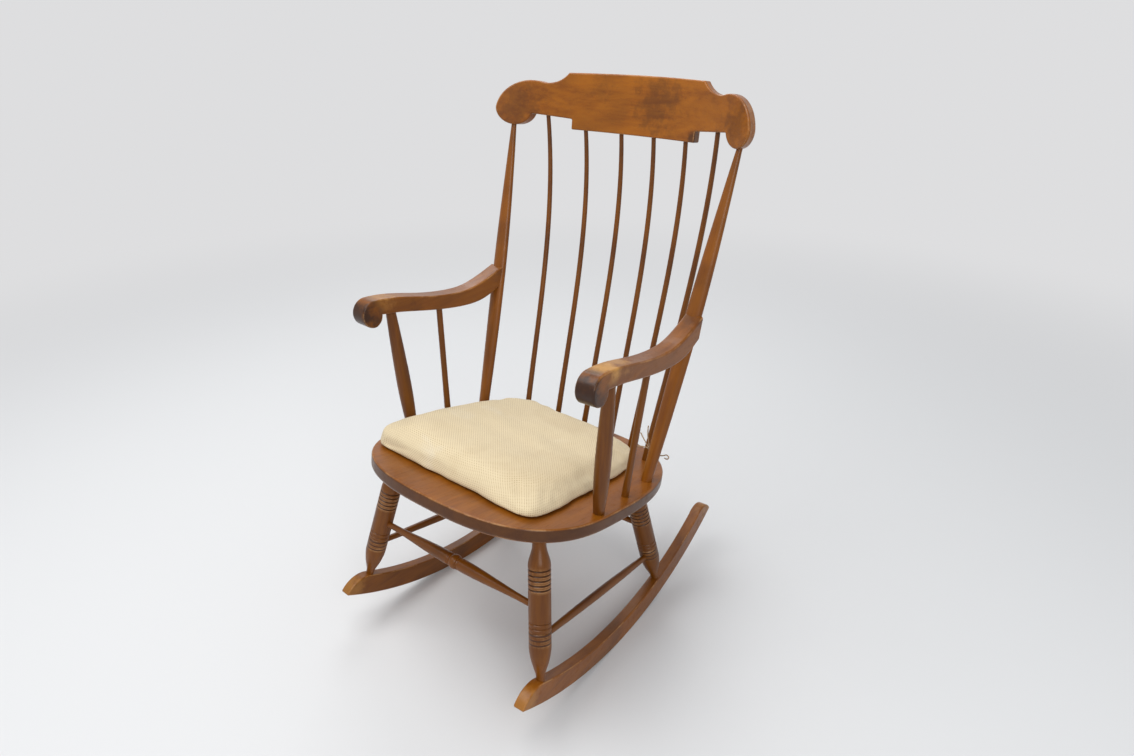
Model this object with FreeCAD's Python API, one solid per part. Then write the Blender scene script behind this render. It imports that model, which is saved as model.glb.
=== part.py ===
import FreeCAD, Part
import math
import os

from FreeCAD import Vector

# Boston rocking chair, millimetres, +Z up, the sitter faces -Y and the sitter's left is +X.
# The chair is drawn with the centre of its rocker arcs over Y = 0, then rolled back on its rockers
# until its weight hangs under that centre, and last moved to the middle of its footprint.

# Rockers
rocker_radius = 712.0
rocker_depth = 43.0
rocker_width = 23.0
rocker_front_reach = 349.0
rocker_back_reach = 378.0
rocker_offset = 222.5
rocker_toe = 0.05
rocker_front_nose = 46.0
rocker_back_nose = 30.0
rocker_nose_run_share = 0.3
rocker_nose_rise_share = 0.32
rocker_edge_round = 3.0

# Seat plank, drawn on its own top face
seat_origin_y = -97.0
seat_origin_z = 377.0
seat_slope = 10.5
seat_half_width = 264.0
seat_front_reach = 221.0
seat_back_reach = 330.0
seat_thickness = 28.0
seat_front_squareness = 2.7
seat_back_squareness = 2.75
seat_outline_points = 32
seat_top_round = 4.0
seat_under_round = 9.0

# Joints between sticks and what holds them
glue_gap = 0.1
seat_socket_depth = 19.0
post_crest_socket_depth = 26.0
spindle_crest_socket_depth = 19.0
rocker_socket_depth = 18.0
leg_socket_depth = 13.0
arm_socket_depth = 15.0
arm_tenon_radius = 6.0
arm_tenon_length = 11.0
stick_land = 4.0
stick_sections = 7
hole_run_out = 12.0
cutter_size = 400.0

# Legs
front_leg_top_x = 184.0
front_leg_top_y = -219.0
front_leg_foot_y = -283.0
rear_leg_top_x = 173.0
rear_leg_top_y = 89.0
rear_leg_foot_y = 135.0
leg_neck_radius = 12.0
leg_full_radius = 20.5
leg_foot_radius = 8.0
leg_land = 6.0
leg_shoulder_reach = 63.0
leg_first_ring = 69.0
leg_ring_pitch = 8.8
leg_ring_depth = 1.7
leg_ring_half_width = 1.9
leg_upper_rings = 5
leg_lower_rings = 3
leg_lower_ring_share = 0.60
leg_taper_share = 0.77
leg_neck_curve = ((0, 0), (0.25, 0.03), (0.5, 0.2), (0.78, 0.75), (1, 1))
leg_taper_curve = ((0, 0), (0.3, 0.16), (0.6, 0.5), (0.85, 0.87), (1, 1))

# Stretchers
stretcher_end_radius = 6.0
front_stretcher_share = 0.52
front_stretcher_radius = 12.5
front_stretcher_bead_radius = 14.5
front_stretcher_bead_width = 16.0
front_stretcher_ring_gap = 7.0
front_stretcher_shares = (0, 0.3, 0.6, 0.85, 1)
bead_shoulder_share = 0.4
bead_shoulder_drop = 1.0
rear_stretcher_share = 0.45
side_stretcher_front_share = 0.72
side_stretcher_rear_share = 0.75
side_stretcher_radius = 8.5
side_stretcher_shares = (0, 0.2, 0.5, 0.8, 1)

# Crest rail
crest_bend_radius = 491.0
crest_centre_y = 330.0
crest_height = 1000.0
crest_lean = 6.0
crest_thickness = 21.0
crest_crown_rise = 73.5
crest_shoulder_x = 160.0
crest_shoulder_rise = 70.0
crest_cove_x = 183.0
crest_cove_rise = 52.0
crest_ear_x = 212.0
crest_ear_rise = 48.0
crest_ear_mid_x = 270.0
crest_ear_mid_rise = 38.0
crest_end_x = 297.0
crest_end_drop = 8.0
crest_lobe_x = 264.0
crest_lobe_drop = 41.0
crest_notch_x = 231.0
crest_notch_drop = 16.0
crest_step_x = 148.5
crest_step_high_drop = 21.0
crest_step_low_drop = 42.0
crest_edge_round = 3.0

# Back posts and spindles
post_base_x = 224.0
post_base_y = 64.0
post_top_x = 268.0
post_bow = 4.0
post_base_radius = 11.0
post_top_radius = 5.5
post_wide_half = 16.5
post_thick_half = 10.5
post_wide_share = 0.47
spindle_base_x = (38.0, 103.0, 164.5)
spindle_base_y = (206.0, 189.0, 151.0)
spindle_top_x = (39.5, 121.5, 203.0)
spindle_bow = 26.0
spindle_bow_lift = 10.0
spindle_base_radius = 6.5
spindle_mid_radius = 5.8
spindle_top_radius = 4.5
spindle_mid_share = 0.4

# Arms
arm_width = 37.0
arm_rear_x = 250.0
arm_front_x = 271.0
arm_front_y = -212.0
arm_nose_radius = 27.5
arm_nose_height = 658.5
arm_hook_back = 18.0
arm_hook_rise = 22.0
arm_hook_bulge_run = 13.0
arm_hook_bulge_rise = 8.0
arm_end_y = 185.0
arm_end_top_rise = 25.5
arm_end_under_rise = -10.0
arm_edge_round = 4.0
arm_top_y = (-125.0, -55.0, 20.0, 62.0, 100.0, 142.0)
arm_top_rise = (20.5, 4.0, -8.0, -9.0, -2.0, 11.0)
arm_under_y = (-138.0, -68.0, 0.0, 50.0, 97.0, 146.0)
arm_under_rise = (-9.5, -24.5, -38.0, -44.0, -42.5, -26.5)
arm_cope_depth = 5.5
arm_tenon_overlap = 4.0
arm_post_base_x = 244.0
arm_post_base_y = -126.0
arm_post_top_y = -136.0
arm_post_base_radius = 10.5
arm_post_wide_radius = 14.5
arm_post_top_radius = 10.0
arm_post_wide_share = 0.36
arm_spindle_base_x = 236.0
arm_spindle_base_y = -30.0
arm_spindle_top_y = -13.0
arm_spindle_base_radius = 7.2
arm_spindle_mid_radius = 6.3
arm_spindle_wide_share = 0.5
upright_shares = (0, 0.12, 0.25, 0.36, 0.55, 0.75, 0.9, 1)

# Seat cushion, drawn on the seat's top face
cushion_centre_x = -13.8
cushion_front_half = 222.0
cushion_back_half = 185.0
cushion_front_y = -159.0
cushion_back_y = 268.0
cushion_turn = -1.9
cushion_front_squareness = 7.4
cushion_back_squareness = 3.9
cushion_outline_points = 32
cushion_side_draw_in = 0.01
cushion_end_draw_in = 0.034
cushion_edge_height = 42.0
cushion_crown = 10.0
cushion_tilt = -0.05
cushion_crown_points = 7
cushion_crown_span = 2.2
cushion_top_round = 13.0
cushion_under_round = 9.0
cushion_seat_gap = 0.3

# The cushion's tie: a twine that runs from its corner past the back post and ends in a small loop,
# with two loose tails standing out of the knot
tie_radius = 1.2
tie_bend_share = 0.45
tie_points = ((152.0, 118.0, 365.0), (165.0, 113.0, 382.0), (188.0, 105.0, 393.5), (208.0, 100.0, 396.0),
              (227.0, 99.0, 389.0),
              (238.0, 100.0, 392.0), (245.5, 100.5, 397.0), (251.0, 101.0, 392.5), (247.0, 101.0, 385.5),
              (240.0, 102.0, 386.0))
tie_short_tail = ((184.2, 98.0, 427.0), (192.8, 97.5, 413.5), (203.5, 99.0, 400.5))
tie_long_tail = ((201.3, 98.0, 448.0), (198.7, 98.0, 425.0), (206.5, 98.0, 402.0))
tie_knot_centre = (205.5, 99.0, 398.5)
tie_knot_radius = 5.5

# Lean of the finished chair where it comes to rest, and the weights that settle it
rest_lean = 0.26
wood_density = 0.65e-6
cushion_density = 0.04e-6


def mirrored(shape):
    return shape.mirror(Vector(0, 0, 0), Vector(1, 0, 0))


def on_seat(x, y, height=0.0):
    # The point at x, y that lies this high over the plank's top face, square to it.
    slope = math.radians(seat_slope)
    z = seat_origin_z - (y - seat_origin_y) * math.tan(slope) + height / math.cos(slope)
    return Vector(x, y, z)


def lay_on_seat(shape):
    slope = FreeCAD.Rotation(Vector(1, 0, 0), -seat_slope)
    onto_seat = FreeCAD.Placement(Vector(0, seat_origin_y, seat_origin_z), slope)
    laid = shape.copy()
    laid.Placement = onto_seat.multiply(laid.Placement)
    return laid


def rocker_x(y):
    return rocker_offset - rocker_toe * y


def rocker_top(y):
    inner = rocker_radius - rocker_depth
    return Vector(rocker_x(y), y, rocker_radius - math.sqrt(inner * inner - y * y))


def between(start, end, share):
    return start + (end - start) * share


def rod(start, end, radius):
    return Part.makeCylinder(radius, (end - start).Length, start, end - start)


def turned(start, end, outline):
    # Spins an outline about the line from start to end. Each stretch of the outline is a list of
    # (distance from start, radius): two points are joined by a line, more by a smooth curve.
    edges = []
    for stretch in outline:
        points = [Vector(radius, 0, distance) for distance, radius in stretch]
        if len(points) == 2:
            edges.append(Part.makeLine(points[0], points[1]))
        else:
            curve = Part.BSplineCurve()
            curve.interpolate(points)
            edges.append(curve.toShape())
    first, last = outline[0][0], outline[-1][-1]
    edges.insert(0, Part.makeLine(Vector(0, 0, first[0]), Vector(first[1], 0, first[0])))
    edges.append(Part.makeLine(Vector(last[1], 0, last[0]), Vector(0, 0, last[0])))
    edges.append(Part.makeLine(Vector(0, 0, last[0]), Vector(0, 0, first[0])))
    solid = Part.Face(Part.Wire(edges)).revolve(Vector(0, 0, 0), Vector(0, 0, 1), 360)
    turn = FreeCAD.Rotation(Vector(0, 0, 1), end - start)
    solid.Placement = FreeCAD.Placement(start, turn)
    return solid


def lines_through(points):
    return [[first, second] for first, second in zip(points, points[1:])]


def oval(centre, direction, wide, thick):
    # A section square to the stick's line, its wide way across the chair.
    if wide > thick:
        curve = Part.Ellipse(Vector(0, 0, 0), wide, thick)
    else:
        curve = Part.Circle(Vector(0, 0, 0), Vector(0, 0, 1), wide)
    wire = Part.Wire([curve.toShape()])
    turn = FreeCAD.Rotation(Vector(1, 0, 0), Vector(0, 0, 0), direction, "ZXY")
    wire.Placement = FreeCAD.Placement(centre, turn)
    return wire


class Stick:
    # A bent stick from a point on the seat to a point on the crest's underside. Its line bows back
    # by bow at the middle, and lift moves the bow towards the top. Both ends run straight into sockets.
    def __init__(self, base, top, bow, lift, half_width, half_depth, top_socket):
        self.base, self.top, self.bow, self.lift = base, top, bow, lift
        self.half_width, self.half_depth, self.top_socket = half_width, half_depth, top_socket

    def point(self, share):
        back = 4 * self.bow * share * (1 - share) - 6 * self.lift * share * (1 - share) * (1 - 2 * share)
        return self.base + (self.top - self.base) * share + Vector(0, back, 0)

    def direction(self, share):
        slope = 4 * self.bow * (1 - 2 * share) - 6 * self.lift * (1 - 6 * share + 6 * share * share)
        line = self.top - self.base + Vector(0, slope, 0)
        return line.normalize()

    def base_tenon(self, clearance, reach):
        way = self.direction(0)
        return rod(self.base - way * (seat_socket_depth - clearance), self.base + way * reach,
                   self.half_width(0) + clearance)

    def top_tenon(self, clearance, reach):
        way = self.direction(1)
        return rod(self.top - way * reach, self.top + way * (self.top_socket + clearance),
                   self.half_width(1) + clearance)

    def stations(self):
        # The first and last stand at the straight ends, the rest along the bend.
        low, high = self.direction(0), self.direction(1)
        places = [(self.base + low * stick_land, low, 0.0)]
        for step in range(1, stick_sections):
            share = step / stick_sections
            places.append((self.point(share), self.direction(share), share))
        places.append((self.top - high * stick_land, high, 1.0))
        return places

    def body(self, growth=0.0):
        wires = []
        for centre, way, share in self.stations():
            wires.append(oval(centre, way, self.half_width(share) + growth, self.half_depth(share) + growth))
        return Part.makeLoft(wires, True, False)

    def solid(self):
        stations = self.stations()
        low = rod(self.base - self.direction(0) * (seat_socket_depth - glue_gap), stations[0][0],
                  self.half_width(0))
        high = rod(stations[-1][0], self.top + self.direction(1) * (self.top_socket - glue_gap),
                   self.half_width(1))
        return low.fuse([self.body(), high])


def eased(share):
    # A smooth rise from 0 to 1.
    return 0.5 - 0.5 * math.cos(math.pi * min(max(share, 0.0), 1.0))


def swelling(share, base, widest, top, widest_share):
    # A half width that swells from base to widest and shrinks again to top.
    if share < widest_share:
        return base + (widest - base) * math.sin(0.5 * math.pi * share / widest_share)
    return top + (widest - top) * math.cos(0.5 * math.pi * (share - widest_share) / (1 - widest_share))


def squared_round(share, front_squareness, back_squareness):
    # A point this far round a rounded square that spans -1 to 1 both ways, one end squarer than the other.
    angle = 2 * math.pi * share
    power = 2.0 / (back_squareness if math.sin(angle) >= 0 else front_squareness)
    across = math.copysign(abs(math.cos(angle)) ** power, math.cos(angle))
    along = math.copysign(abs(math.sin(angle)) ** power, math.sin(angle))
    return across, along


def closed_curve(points):
    curve = Part.BSplineCurve()
    curve.interpolate(points, True)
    return Part.Wire([curve.toShape()])


def seat_plank():
    points = []
    for step in range(seat_outline_points):
        across, along = squared_round(step / seat_outline_points, seat_front_squareness, seat_back_squareness)
        reach = seat_back_reach if along >= 0 else seat_front_reach
        points.append(Vector(across * seat_half_width, along * reach, -seat_thickness))
    plank = Part.Face(closed_curve(points)).extrude(Vector(0, 0, seat_thickness))
    top_rim = [edge for edge in plank.Edges if edge.BoundBox.ZMin > -0.01]
    plank = plank.makeFillet(seat_top_round, top_rim)
    under_rim = [edge for edge in plank.Edges if edge.BoundBox.ZMax < 0.01 - seat_thickness]
    return lay_on_seat(plank.makeFillet(seat_under_round, under_rim))


def leg_ends(front):
    x = front_leg_top_x if front else rear_leg_top_x
    y = front_leg_top_y if front else rear_leg_top_y
    return on_seat(x, y, -seat_thickness), rocker_top(front_leg_foot_y if front else rear_leg_foot_y)


def ring_grooves(start, count):
    points = []
    for ring in range(count):
        middle = start + ring * leg_ring_pitch
        points.append((middle - leg_ring_half_width, leg_full_radius))
        points.append((middle, leg_full_radius - leg_ring_depth))
        points.append((middle + leg_ring_half_width, leg_full_radius))
    return points


def leg(front):
    top, foot = leg_ends(front)
    length = (foot - top).Length
    neck = []
    for share, rise in leg_neck_curve:
        radius = between(leg_neck_radius, leg_full_radius, rise)
        neck.append((between(leg_land, leg_shoulder_reach, share), radius))
    taper_start = length * leg_taper_share
    taper_end = length - leg_land
    taper = []
    for share, fall in leg_taper_curve:
        radius = between(leg_full_radius, leg_foot_radius, fall)
        taper.append((between(taper_start, taper_end, share), radius))
    rings = ring_grooves(leg_first_ring, leg_upper_rings)
    rings += ring_grooves(length * leg_lower_ring_share, leg_lower_rings)
    outline = [[(glue_gap - seat_socket_depth, leg_neck_radius), neck[0]], neck]
    outline += lines_through([neck[-1]] + rings + [taper[0]])
    outline += [taper, [taper[-1], (length + rocker_socket_depth - glue_gap, leg_foot_radius)]]
    return turned(top, foot, outline)


def stretcher_ends(first, last):
    way = (last - first).normalize()
    inset = leg_full_radius - leg_socket_depth
    return first + way * inset, last - way * inset


def stretcher_line(kind):
    # Where a stretcher starts and ends inside the legs that it joins.
    if kind == "side":
        front = between(*leg_ends(True), side_stretcher_front_share)
        rear = between(*leg_ends(False), side_stretcher_rear_share)
        return stretcher_ends(front, rear)
    share = front_stretcher_share if kind == "front" else rear_stretcher_share
    point = between(*leg_ends(kind == "front"), share)
    return stretcher_ends(point, Vector(-point.x, point.y, point.z))


def plain_stretcher(start, end):
    length = (end - start).Length
    land = leg_socket_depth + stick_land
    grow = side_stretcher_radius - stretcher_end_radius
    swell = [(land + (length - 2 * land) * share, stretcher_end_radius + grow * math.sin(math.pi * share))
             for share in side_stretcher_shares]
    first, last = (glue_gap, stretcher_end_radius), (length - glue_gap, stretcher_end_radius)
    return turned(start, end, [[first, swell[0]], swell, [swell[-1], last]])


def turned_round(stretch, length):
    # The same stretch of outline, seen from the stick's other end.
    return [(length - distance, radius) for distance, radius in reversed(stretch)]


def beaded_stretcher(start, end):
    length = (end - start).Length
    land = leg_socket_depth + stick_land
    bead = 0.5 * front_stretcher_bead_width
    shoulder = 0.5 * length - bead - front_stretcher_ring_gap
    grow = front_stretcher_radius - stretcher_end_radius
    rise = [(land + (shoulder - land) * share, stretcher_end_radius + grow * eased(share))
            for share in front_stretcher_shares]
    neck_radius = front_stretcher_radius - leg_ring_depth
    ring = [rise[-1], (shoulder + leg_ring_half_width, neck_radius),
            (shoulder + 2 * leg_ring_half_width, front_stretcher_radius),
            (0.5 * length - bead, neck_radius)]
    bead_shoulder = 0.5 * length - (1 - bead_shoulder_share) * bead
    half_bead = [(0.5 * length - bead, neck_radius),
                 (bead_shoulder, front_stretcher_bead_radius - bead_shoulder_drop)]
    full_bead = half_bead + [(0.5 * length, front_stretcher_bead_radius)] + turned_round(half_bead, length)
    left = [[(glue_gap, stretcher_end_radius), rise[0]], rise] + lines_through(ring)
    right = [turned_round(stretch, length) for stretch in reversed(left)]
    return turned(start, end, left + [full_bead] + right)


def rocker():
    # The board's outline in its own plane: two arcs about one centre, with a rounded nose at each end.
    def at(radius, angle):
        return Vector(0, radius * math.sin(angle), rocker_radius - radius * math.cos(angle))
    inner = rocker_radius - rocker_depth
    front = -math.asin(rocker_front_reach / rocker_radius)
    back = math.asin(rocker_back_reach / rocker_radius)
    front_top = front + rocker_front_nose / inner
    back_top = back - rocker_back_nose / inner
    nose_radius = inner + rocker_nose_rise_share * rocker_depth
    back_nose = at(nose_radius, back - rocker_nose_run_share * (back - back_top))
    front_nose = at(nose_radius, front - rocker_nose_run_share * (front - front_top))
    edges = [
        Part.Arc(at(rocker_radius, front), at(rocker_radius, 0), at(rocker_radius, back)).toShape(),
        Part.Arc(at(rocker_radius, back), back_nose, at(inner, back_top)).toShape(),
        Part.Arc(at(inner, back_top), at(inner, 0), at(inner, front_top)).toShape(),
        Part.Arc(at(inner, front_top), front_nose, at(rocker_radius, front)).toShape(),
    ]
    board = Part.Face(Part.Wire(edges)).extrude(Vector(rocker_width, 0, 0))
    board = board.makeFillet(rocker_edge_round, board.Edges)
    board.translate(Vector(-0.5 * rocker_width, 0, 0))
    board.rotate(Vector(0, 0, 0), Vector(0, 0, 1), math.degrees(math.atan(rocker_toe)))
    board.translate(Vector(rocker_offset, 0, 0))
    return board


def crest_point(x, rise):
    # A point on the middle of the bent board, across it and up it.
    lean = math.radians(crest_lean)
    bend = math.sqrt(crest_bend_radius ** 2 - x * x) - crest_bend_radius
    y = crest_centre_y + bend * math.cos(lean) + rise * math.sin(lean)
    return Vector(x, y, crest_height + rise * math.cos(lean) - bend * math.sin(lean))


def crest_underside(x):
    # How far below the board's middle height its underside lies at x.
    if x < crest_step_x:
        return -crest_step_low_drop
    share = (x - crest_step_x) / (crest_notch_x - crest_step_x)
    return -(crest_step_high_drop + (crest_notch_drop - crest_step_high_drop) * share)


def crest_board():
    def at(x, rise):
        return Vector(x, 0, rise)
    def right_edges():
        return [
            Part.Arc(at(crest_shoulder_x, crest_shoulder_rise), at(crest_cove_x, crest_cove_rise),
                     at(crest_ear_x, crest_ear_rise)).toShape(),
            Part.Arc(at(crest_ear_x, crest_ear_rise), at(crest_ear_mid_x, crest_ear_mid_rise),
                     at(crest_end_x, -crest_end_drop)).toShape(),
            Part.Arc(at(crest_end_x, -crest_end_drop), at(crest_lobe_x, -crest_lobe_drop),
                     at(crest_notch_x, -crest_notch_drop)).toShape(),
            Part.makeLine(at(crest_notch_x, -crest_notch_drop), at(crest_step_x, -crest_step_high_drop)),
            Part.makeLine(at(crest_step_x, -crest_step_high_drop), at(crest_step_x, -crest_step_low_drop)),
        ]
    crown = Part.Arc(at(-crest_shoulder_x, crest_shoulder_rise), at(0, crest_crown_rise),
                     at(crest_shoulder_x, crest_shoulder_rise)).toShape()
    bottom = Part.makeLine(at(crest_step_x, -crest_step_low_drop), at(-crest_step_x, -crest_step_low_drop))
    right = right_edges()
    left = [edge.mirror(Vector(0, 0, 0), Vector(1, 0, 0)) for edge in right]
    outline = Part.Wire(Part.__sortEdges__([crown] + right + [bottom] + left))
    plate = Part.Face(outline).extrude(Vector(0, -crest_bend_radius, 0))
    plate.translate(Vector(0, crest_thickness, 0))
    low = Vector(0, -crest_bend_radius, -0.5 * cutter_size)
    outer = Part.makeCylinder(crest_bend_radius + 0.5 * crest_thickness, cutter_size, low)
    inner = Part.makeCylinder(crest_bend_radius - 0.5 * crest_thickness, cutter_size, low)
    board = plate.common(outer.cut(inner))
    return board.makeFillet(crest_edge_round, board.Edges)


def crest_rail():
    board = crest_board()
    board.rotate(Vector(0, 0, 0), Vector(1, 0, 0), -crest_lean)
    board.translate(Vector(0, crest_centre_y, crest_height))
    return board


def back_post():
    def wide(share):
        return swelling(share, post_base_radius, post_wide_half, post_top_radius, post_wide_share)

    def thick(share):
        flat = swelling(share, post_base_radius, post_thick_half, post_top_radius, post_wide_share)
        return min(wide(share), flat)

    return Stick(on_seat(post_base_x, post_base_y), crest_point(post_top_x, -crest_lobe_drop), post_bow, 0.0,
                 wide, thick, post_crest_socket_depth)


def back_spindle(index):
    def radius(share):
        return swelling(share, spindle_base_radius, spindle_mid_radius, spindle_top_radius, spindle_mid_share)

    base = on_seat(spindle_base_x[index], spindle_base_y[index])
    top = crest_point(spindle_top_x[index], crest_underside(spindle_top_x[index]))
    return Stick(base, top, spindle_bow, spindle_bow_lift, radius, radius, spindle_crest_socket_depth)


def arm_curves():
    def through(start, ys, rises, end_rise):
        points = [start]
        for y, rise in zip(ys + (arm_end_y,), rises + (end_rise,)):
            points.append(Vector(0, y, arm_nose_height + rise))
        curve = Part.BSplineCurve()
        curve.interpolate(points)
        return curve
    nose_y = arm_front_y + arm_nose_radius
    nose_top = Vector(0, nose_y, arm_nose_height + arm_nose_radius)
    hook = Vector(0, nose_y + arm_hook_back, arm_nose_height - arm_nose_radius + arm_hook_rise)
    top = through(nose_top, arm_top_y, arm_top_rise, arm_end_top_rise)
    under = through(hook, arm_under_y, arm_under_rise, arm_end_under_rise)
    return top, under


def height_on(curve, y):
    low, high = curve.FirstParameter, curve.LastParameter
    for _ in range(40):
        middle = 0.5 * (low + high)
        if curve.value(middle).y < y:
            low = middle
        else:
            high = middle
    return curve.value(low).z


def arm_x(y):
    return arm_rear_x + (arm_front_x - arm_rear_x) * (y - arm_end_y) / (arm_front_y - arm_end_y)


def arm_seat_point(y):
    # Where a stick that stands at y meets the arm's underside.
    return Vector(arm_x(y), y, height_on(arm_curves()[1], y))


def arm():
    top, under = arm_curves()
    nose_y = arm_front_y + arm_nose_radius
    nose_low = Vector(0, nose_y, arm_nose_height - arm_nose_radius)
    hook = under.StartPoint
    bulge = Vector(0, nose_y + arm_hook_bulge_run, nose_low.z + arm_hook_bulge_rise)
    edges = [
        top.toShape(),
        Part.makeLine(top.EndPoint, under.EndPoint),
        under.toShape(),
        Part.Arc(hook, bulge, nose_low).toShape(),
        Part.Arc(nose_low, Vector(0, arm_front_y, arm_nose_height), top.StartPoint).toShape(),
    ]
    bar = Part.Face(Part.Wire(Part.__sortEdges__(edges))).extrude(Vector(arm_width, 0, 0))
    bar.translate(Vector(-0.5 * arm_width, 0, 0))
    rims = [edge for edge in bar.Edges if edge.BoundBox.XLength < 0.01 and edge.BoundBox.YMin < arm_end_y - 1]
    bar = bar.makeFillet(arm_edge_round, rims)
    swing = math.atan((arm_front_x - arm_rear_x) / (arm_end_y - arm_front_y))
    bar.rotate(Vector(0, 0, 0), Vector(0, 0, 1), math.degrees(swing))
    bar.translate(Vector(arm_x(0), 0, 0))
    return bar


def post_share_at(post, height):
    low, high = 0.0, 1.0
    for _ in range(40):
        middle = 0.5 * (low + high)
        if post.point(middle).z < height:
            low = middle
        else:
            high = middle
    return low


def arm_joint(post):
    # The point on the post's middle that the arm's rear end points at, and the way into the post.
    top, under = arm_curves()
    y = post.point(post_share_at(post, arm_nose_height)).y - post_thick_half
    height = 0.5 * (height_on(top, y) + height_on(under, y))
    share = post_share_at(post, height)
    along = post.direction(share)
    return post.point(share), Vector(0, along.z, -along.y).normalize()


def coped_arm(post):
    # The arm's rear end is hollowed to sit round the front of the post, with a round tenon into it.
    middle, way = arm_joint(post)
    bar = arm()
    end = middle - way * (post_thick_half - arm_cope_depth)
    corner = Vector(-0.5 * cutter_size, 0, -0.5 * cutter_size)
    behind = Part.makeBox(cutter_size, cutter_size, cutter_size, corner)
    at_end = FreeCAD.Placement(end, FreeCAD.Rotation(Vector(0, 1, 0), way))
    behind.Placement = at_end.multiply(behind.Placement)
    bar = bar.cut(behind).cut(post.body(glue_gap))
    reach = post_thick_half + arm_tenon_overlap
    tenon = rod(middle - way * reach, middle - way * (post_thick_half - arm_tenon_length), arm_tenon_radius)
    return bar.fuse(tenon)


def arm_tenon_hole(post):
    middle, way = arm_joint(post)
    mouth = middle - way * (post_thick_half + hole_run_out)
    end = middle - way * (post_thick_half - arm_tenon_length - glue_gap)
    return rod(mouth, end, arm_tenon_radius + glue_gap)


def upright_ends(kind):
    # A turned stick between the seat and the arm: where it leaves the seat and meets the arm.
    if kind == "post":
        return on_seat(arm_post_base_x, arm_post_base_y), arm_seat_point(arm_post_top_y)
    return on_seat(arm_spindle_base_x, arm_spindle_base_y), arm_seat_point(arm_spindle_top_y)


def upright(kind):
    base, top = upright_ends(kind)
    length = (top - base).Length
    if kind == "post":
        sizes = (arm_post_base_radius, arm_post_wide_radius, arm_post_top_radius, arm_post_wide_share)
    else:
        radius = arm_spindle_mid_radius
        sizes = (arm_spindle_base_radius, radius, radius, arm_spindle_wide_share)
    span = length - 2 * stick_land
    body = [(stick_land + span * share, swelling(share, *sizes)) for share in upright_shares]
    foot = (glue_gap - seat_socket_depth, body[0][1])
    head = (length + arm_socket_depth - glue_gap, body[-1][1])
    return turned(base, top, [[foot, body[0]], body, [body[-1], head]])


def upright_sockets(kind):
    base, top = upright_ends(kind)
    way = (top - base).normalize()
    low_radius = arm_post_base_radius if kind == "post" else arm_spindle_base_radius
    high_radius = arm_post_top_radius if kind == "post" else arm_spindle_mid_radius
    low = rod(base - way * seat_socket_depth, base + way * hole_run_out, low_radius + glue_gap)
    high = rod(top - way * hole_run_out, top + way * arm_socket_depth, high_radius + glue_gap)
    return low, high


def cushion_outline():
    # A rounded trapezium, wider in front, its sides drawn in at their middles.
    middle = 0.5 * (cushion_front_y + cushion_back_y)
    half_length = 0.5 * (cushion_back_y - cushion_front_y)
    points = []
    for step in range(cushion_outline_points):
        share = step / cushion_outline_points
        across, along = squared_round(share, cushion_front_squareness, cushion_back_squareness)
        middles = math.cos(4 * math.pi * share) ** 2
        half = between(cushion_front_half, cushion_back_half, 0.5 + 0.5 * along)
        x = across * half * (1 - cushion_side_draw_in * middles)
        y = middle + along * half_length * (1 - cushion_end_draw_in * middles)
        points.append(Vector(x, y, cushion_seat_gap))
    return closed_curve(points)


def below_crown():
    # Everything under the pad's crowned top, which also rises towards one side.
    middle = 0.5 * (cushion_front_y + cushion_back_y)
    half_length = 0.5 * (cushion_back_y - cushion_front_y)
    rows = []
    for row in range(cushion_crown_points):
        along = cushion_crown_span * (row / (cushion_crown_points - 1) - 0.5)
        line = []
        for column in range(cushion_crown_points):
            across = cushion_crown_span * (column / (cushion_crown_points - 1) - 0.5)
            x = across * cushion_front_half
            rise = cushion_crown * (1 - across * across) * (1 - along * along)
            height = cushion_edge_height + rise + cushion_tilt * x
            line.append(Vector(x, middle + along * half_length, height))
        rows.append(line)
    top = Part.BSplineSurface()
    top.interpolate(rows)
    return top.toShape().extrude(Vector(0, 0, -cutter_size))


def seat_cushion():
    pad = Part.Face(cushion_outline()).extrude(Vector(0, 0, cutter_size))
    pad = pad.common(below_crown()).Solids[0]
    top_rim = [edge for edge in pad.Edges if edge.BoundBox.ZMin > cushion_seat_gap + cushion_under_round]
    pad = pad.makeFillet(cushion_top_round, top_rim)
    under_rim = [edge for edge in pad.Edges if edge.BoundBox.ZMax < cushion_seat_gap + 0.01]
    pad = pad.makeFillet(cushion_under_round, under_rim)
    pad.rotate(Vector(0, 0.5 * (cushion_front_y + cushion_back_y), 0), Vector(0, 0, 1), cushion_turn)
    pad.translate(Vector(cushion_centre_x, 0, 0))
    return lay_on_seat(pad)


def twine(route):
    # Straight runs joined by arcs that leave and meet them without a corner, swept by the twine's section.
    points = [Vector(*point) for point in route]
    edges = []
    start = points[0]
    for before, corner, after in zip(points, points[1:], points[2:]):
        back, ahead = before - corner, after - corner
        reach = tie_bend_share * min(back.Length, ahead.Length)
        half_turn = 0.5 * (math.pi - back.getAngle(ahead))
        bend_radius = reach / math.tan(half_turn)
        print("twine bend radius", round(bend_radius, 1), "turn", round(math.degrees(2 * half_turn), 1))
        first = corner + back.normalize() * reach
        last = corner + ahead.normalize() * reach
        inward = (back + ahead).normalize()
        crown = corner + inward * (bend_radius / math.cos(half_turn) - bend_radius)
        edges.append(Part.LineSegment(start, first).toShape())
        edges.append(Part.Arc(first, crown, last).toShape())
        start = last
    edges.append(Part.LineSegment(start, points[-1]).toShape())
    path = Part.Wire(edges)
    section = Part.Wire([Part.Circle(points[0], points[1] - points[0], tie_radius).toShape()])
    tube = path.makePipeShell([section], True, False)
    print("twine volume share", round(tube.Volume / (math.pi * tie_radius ** 2 * path.Length), 3))
    return tube


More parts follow.
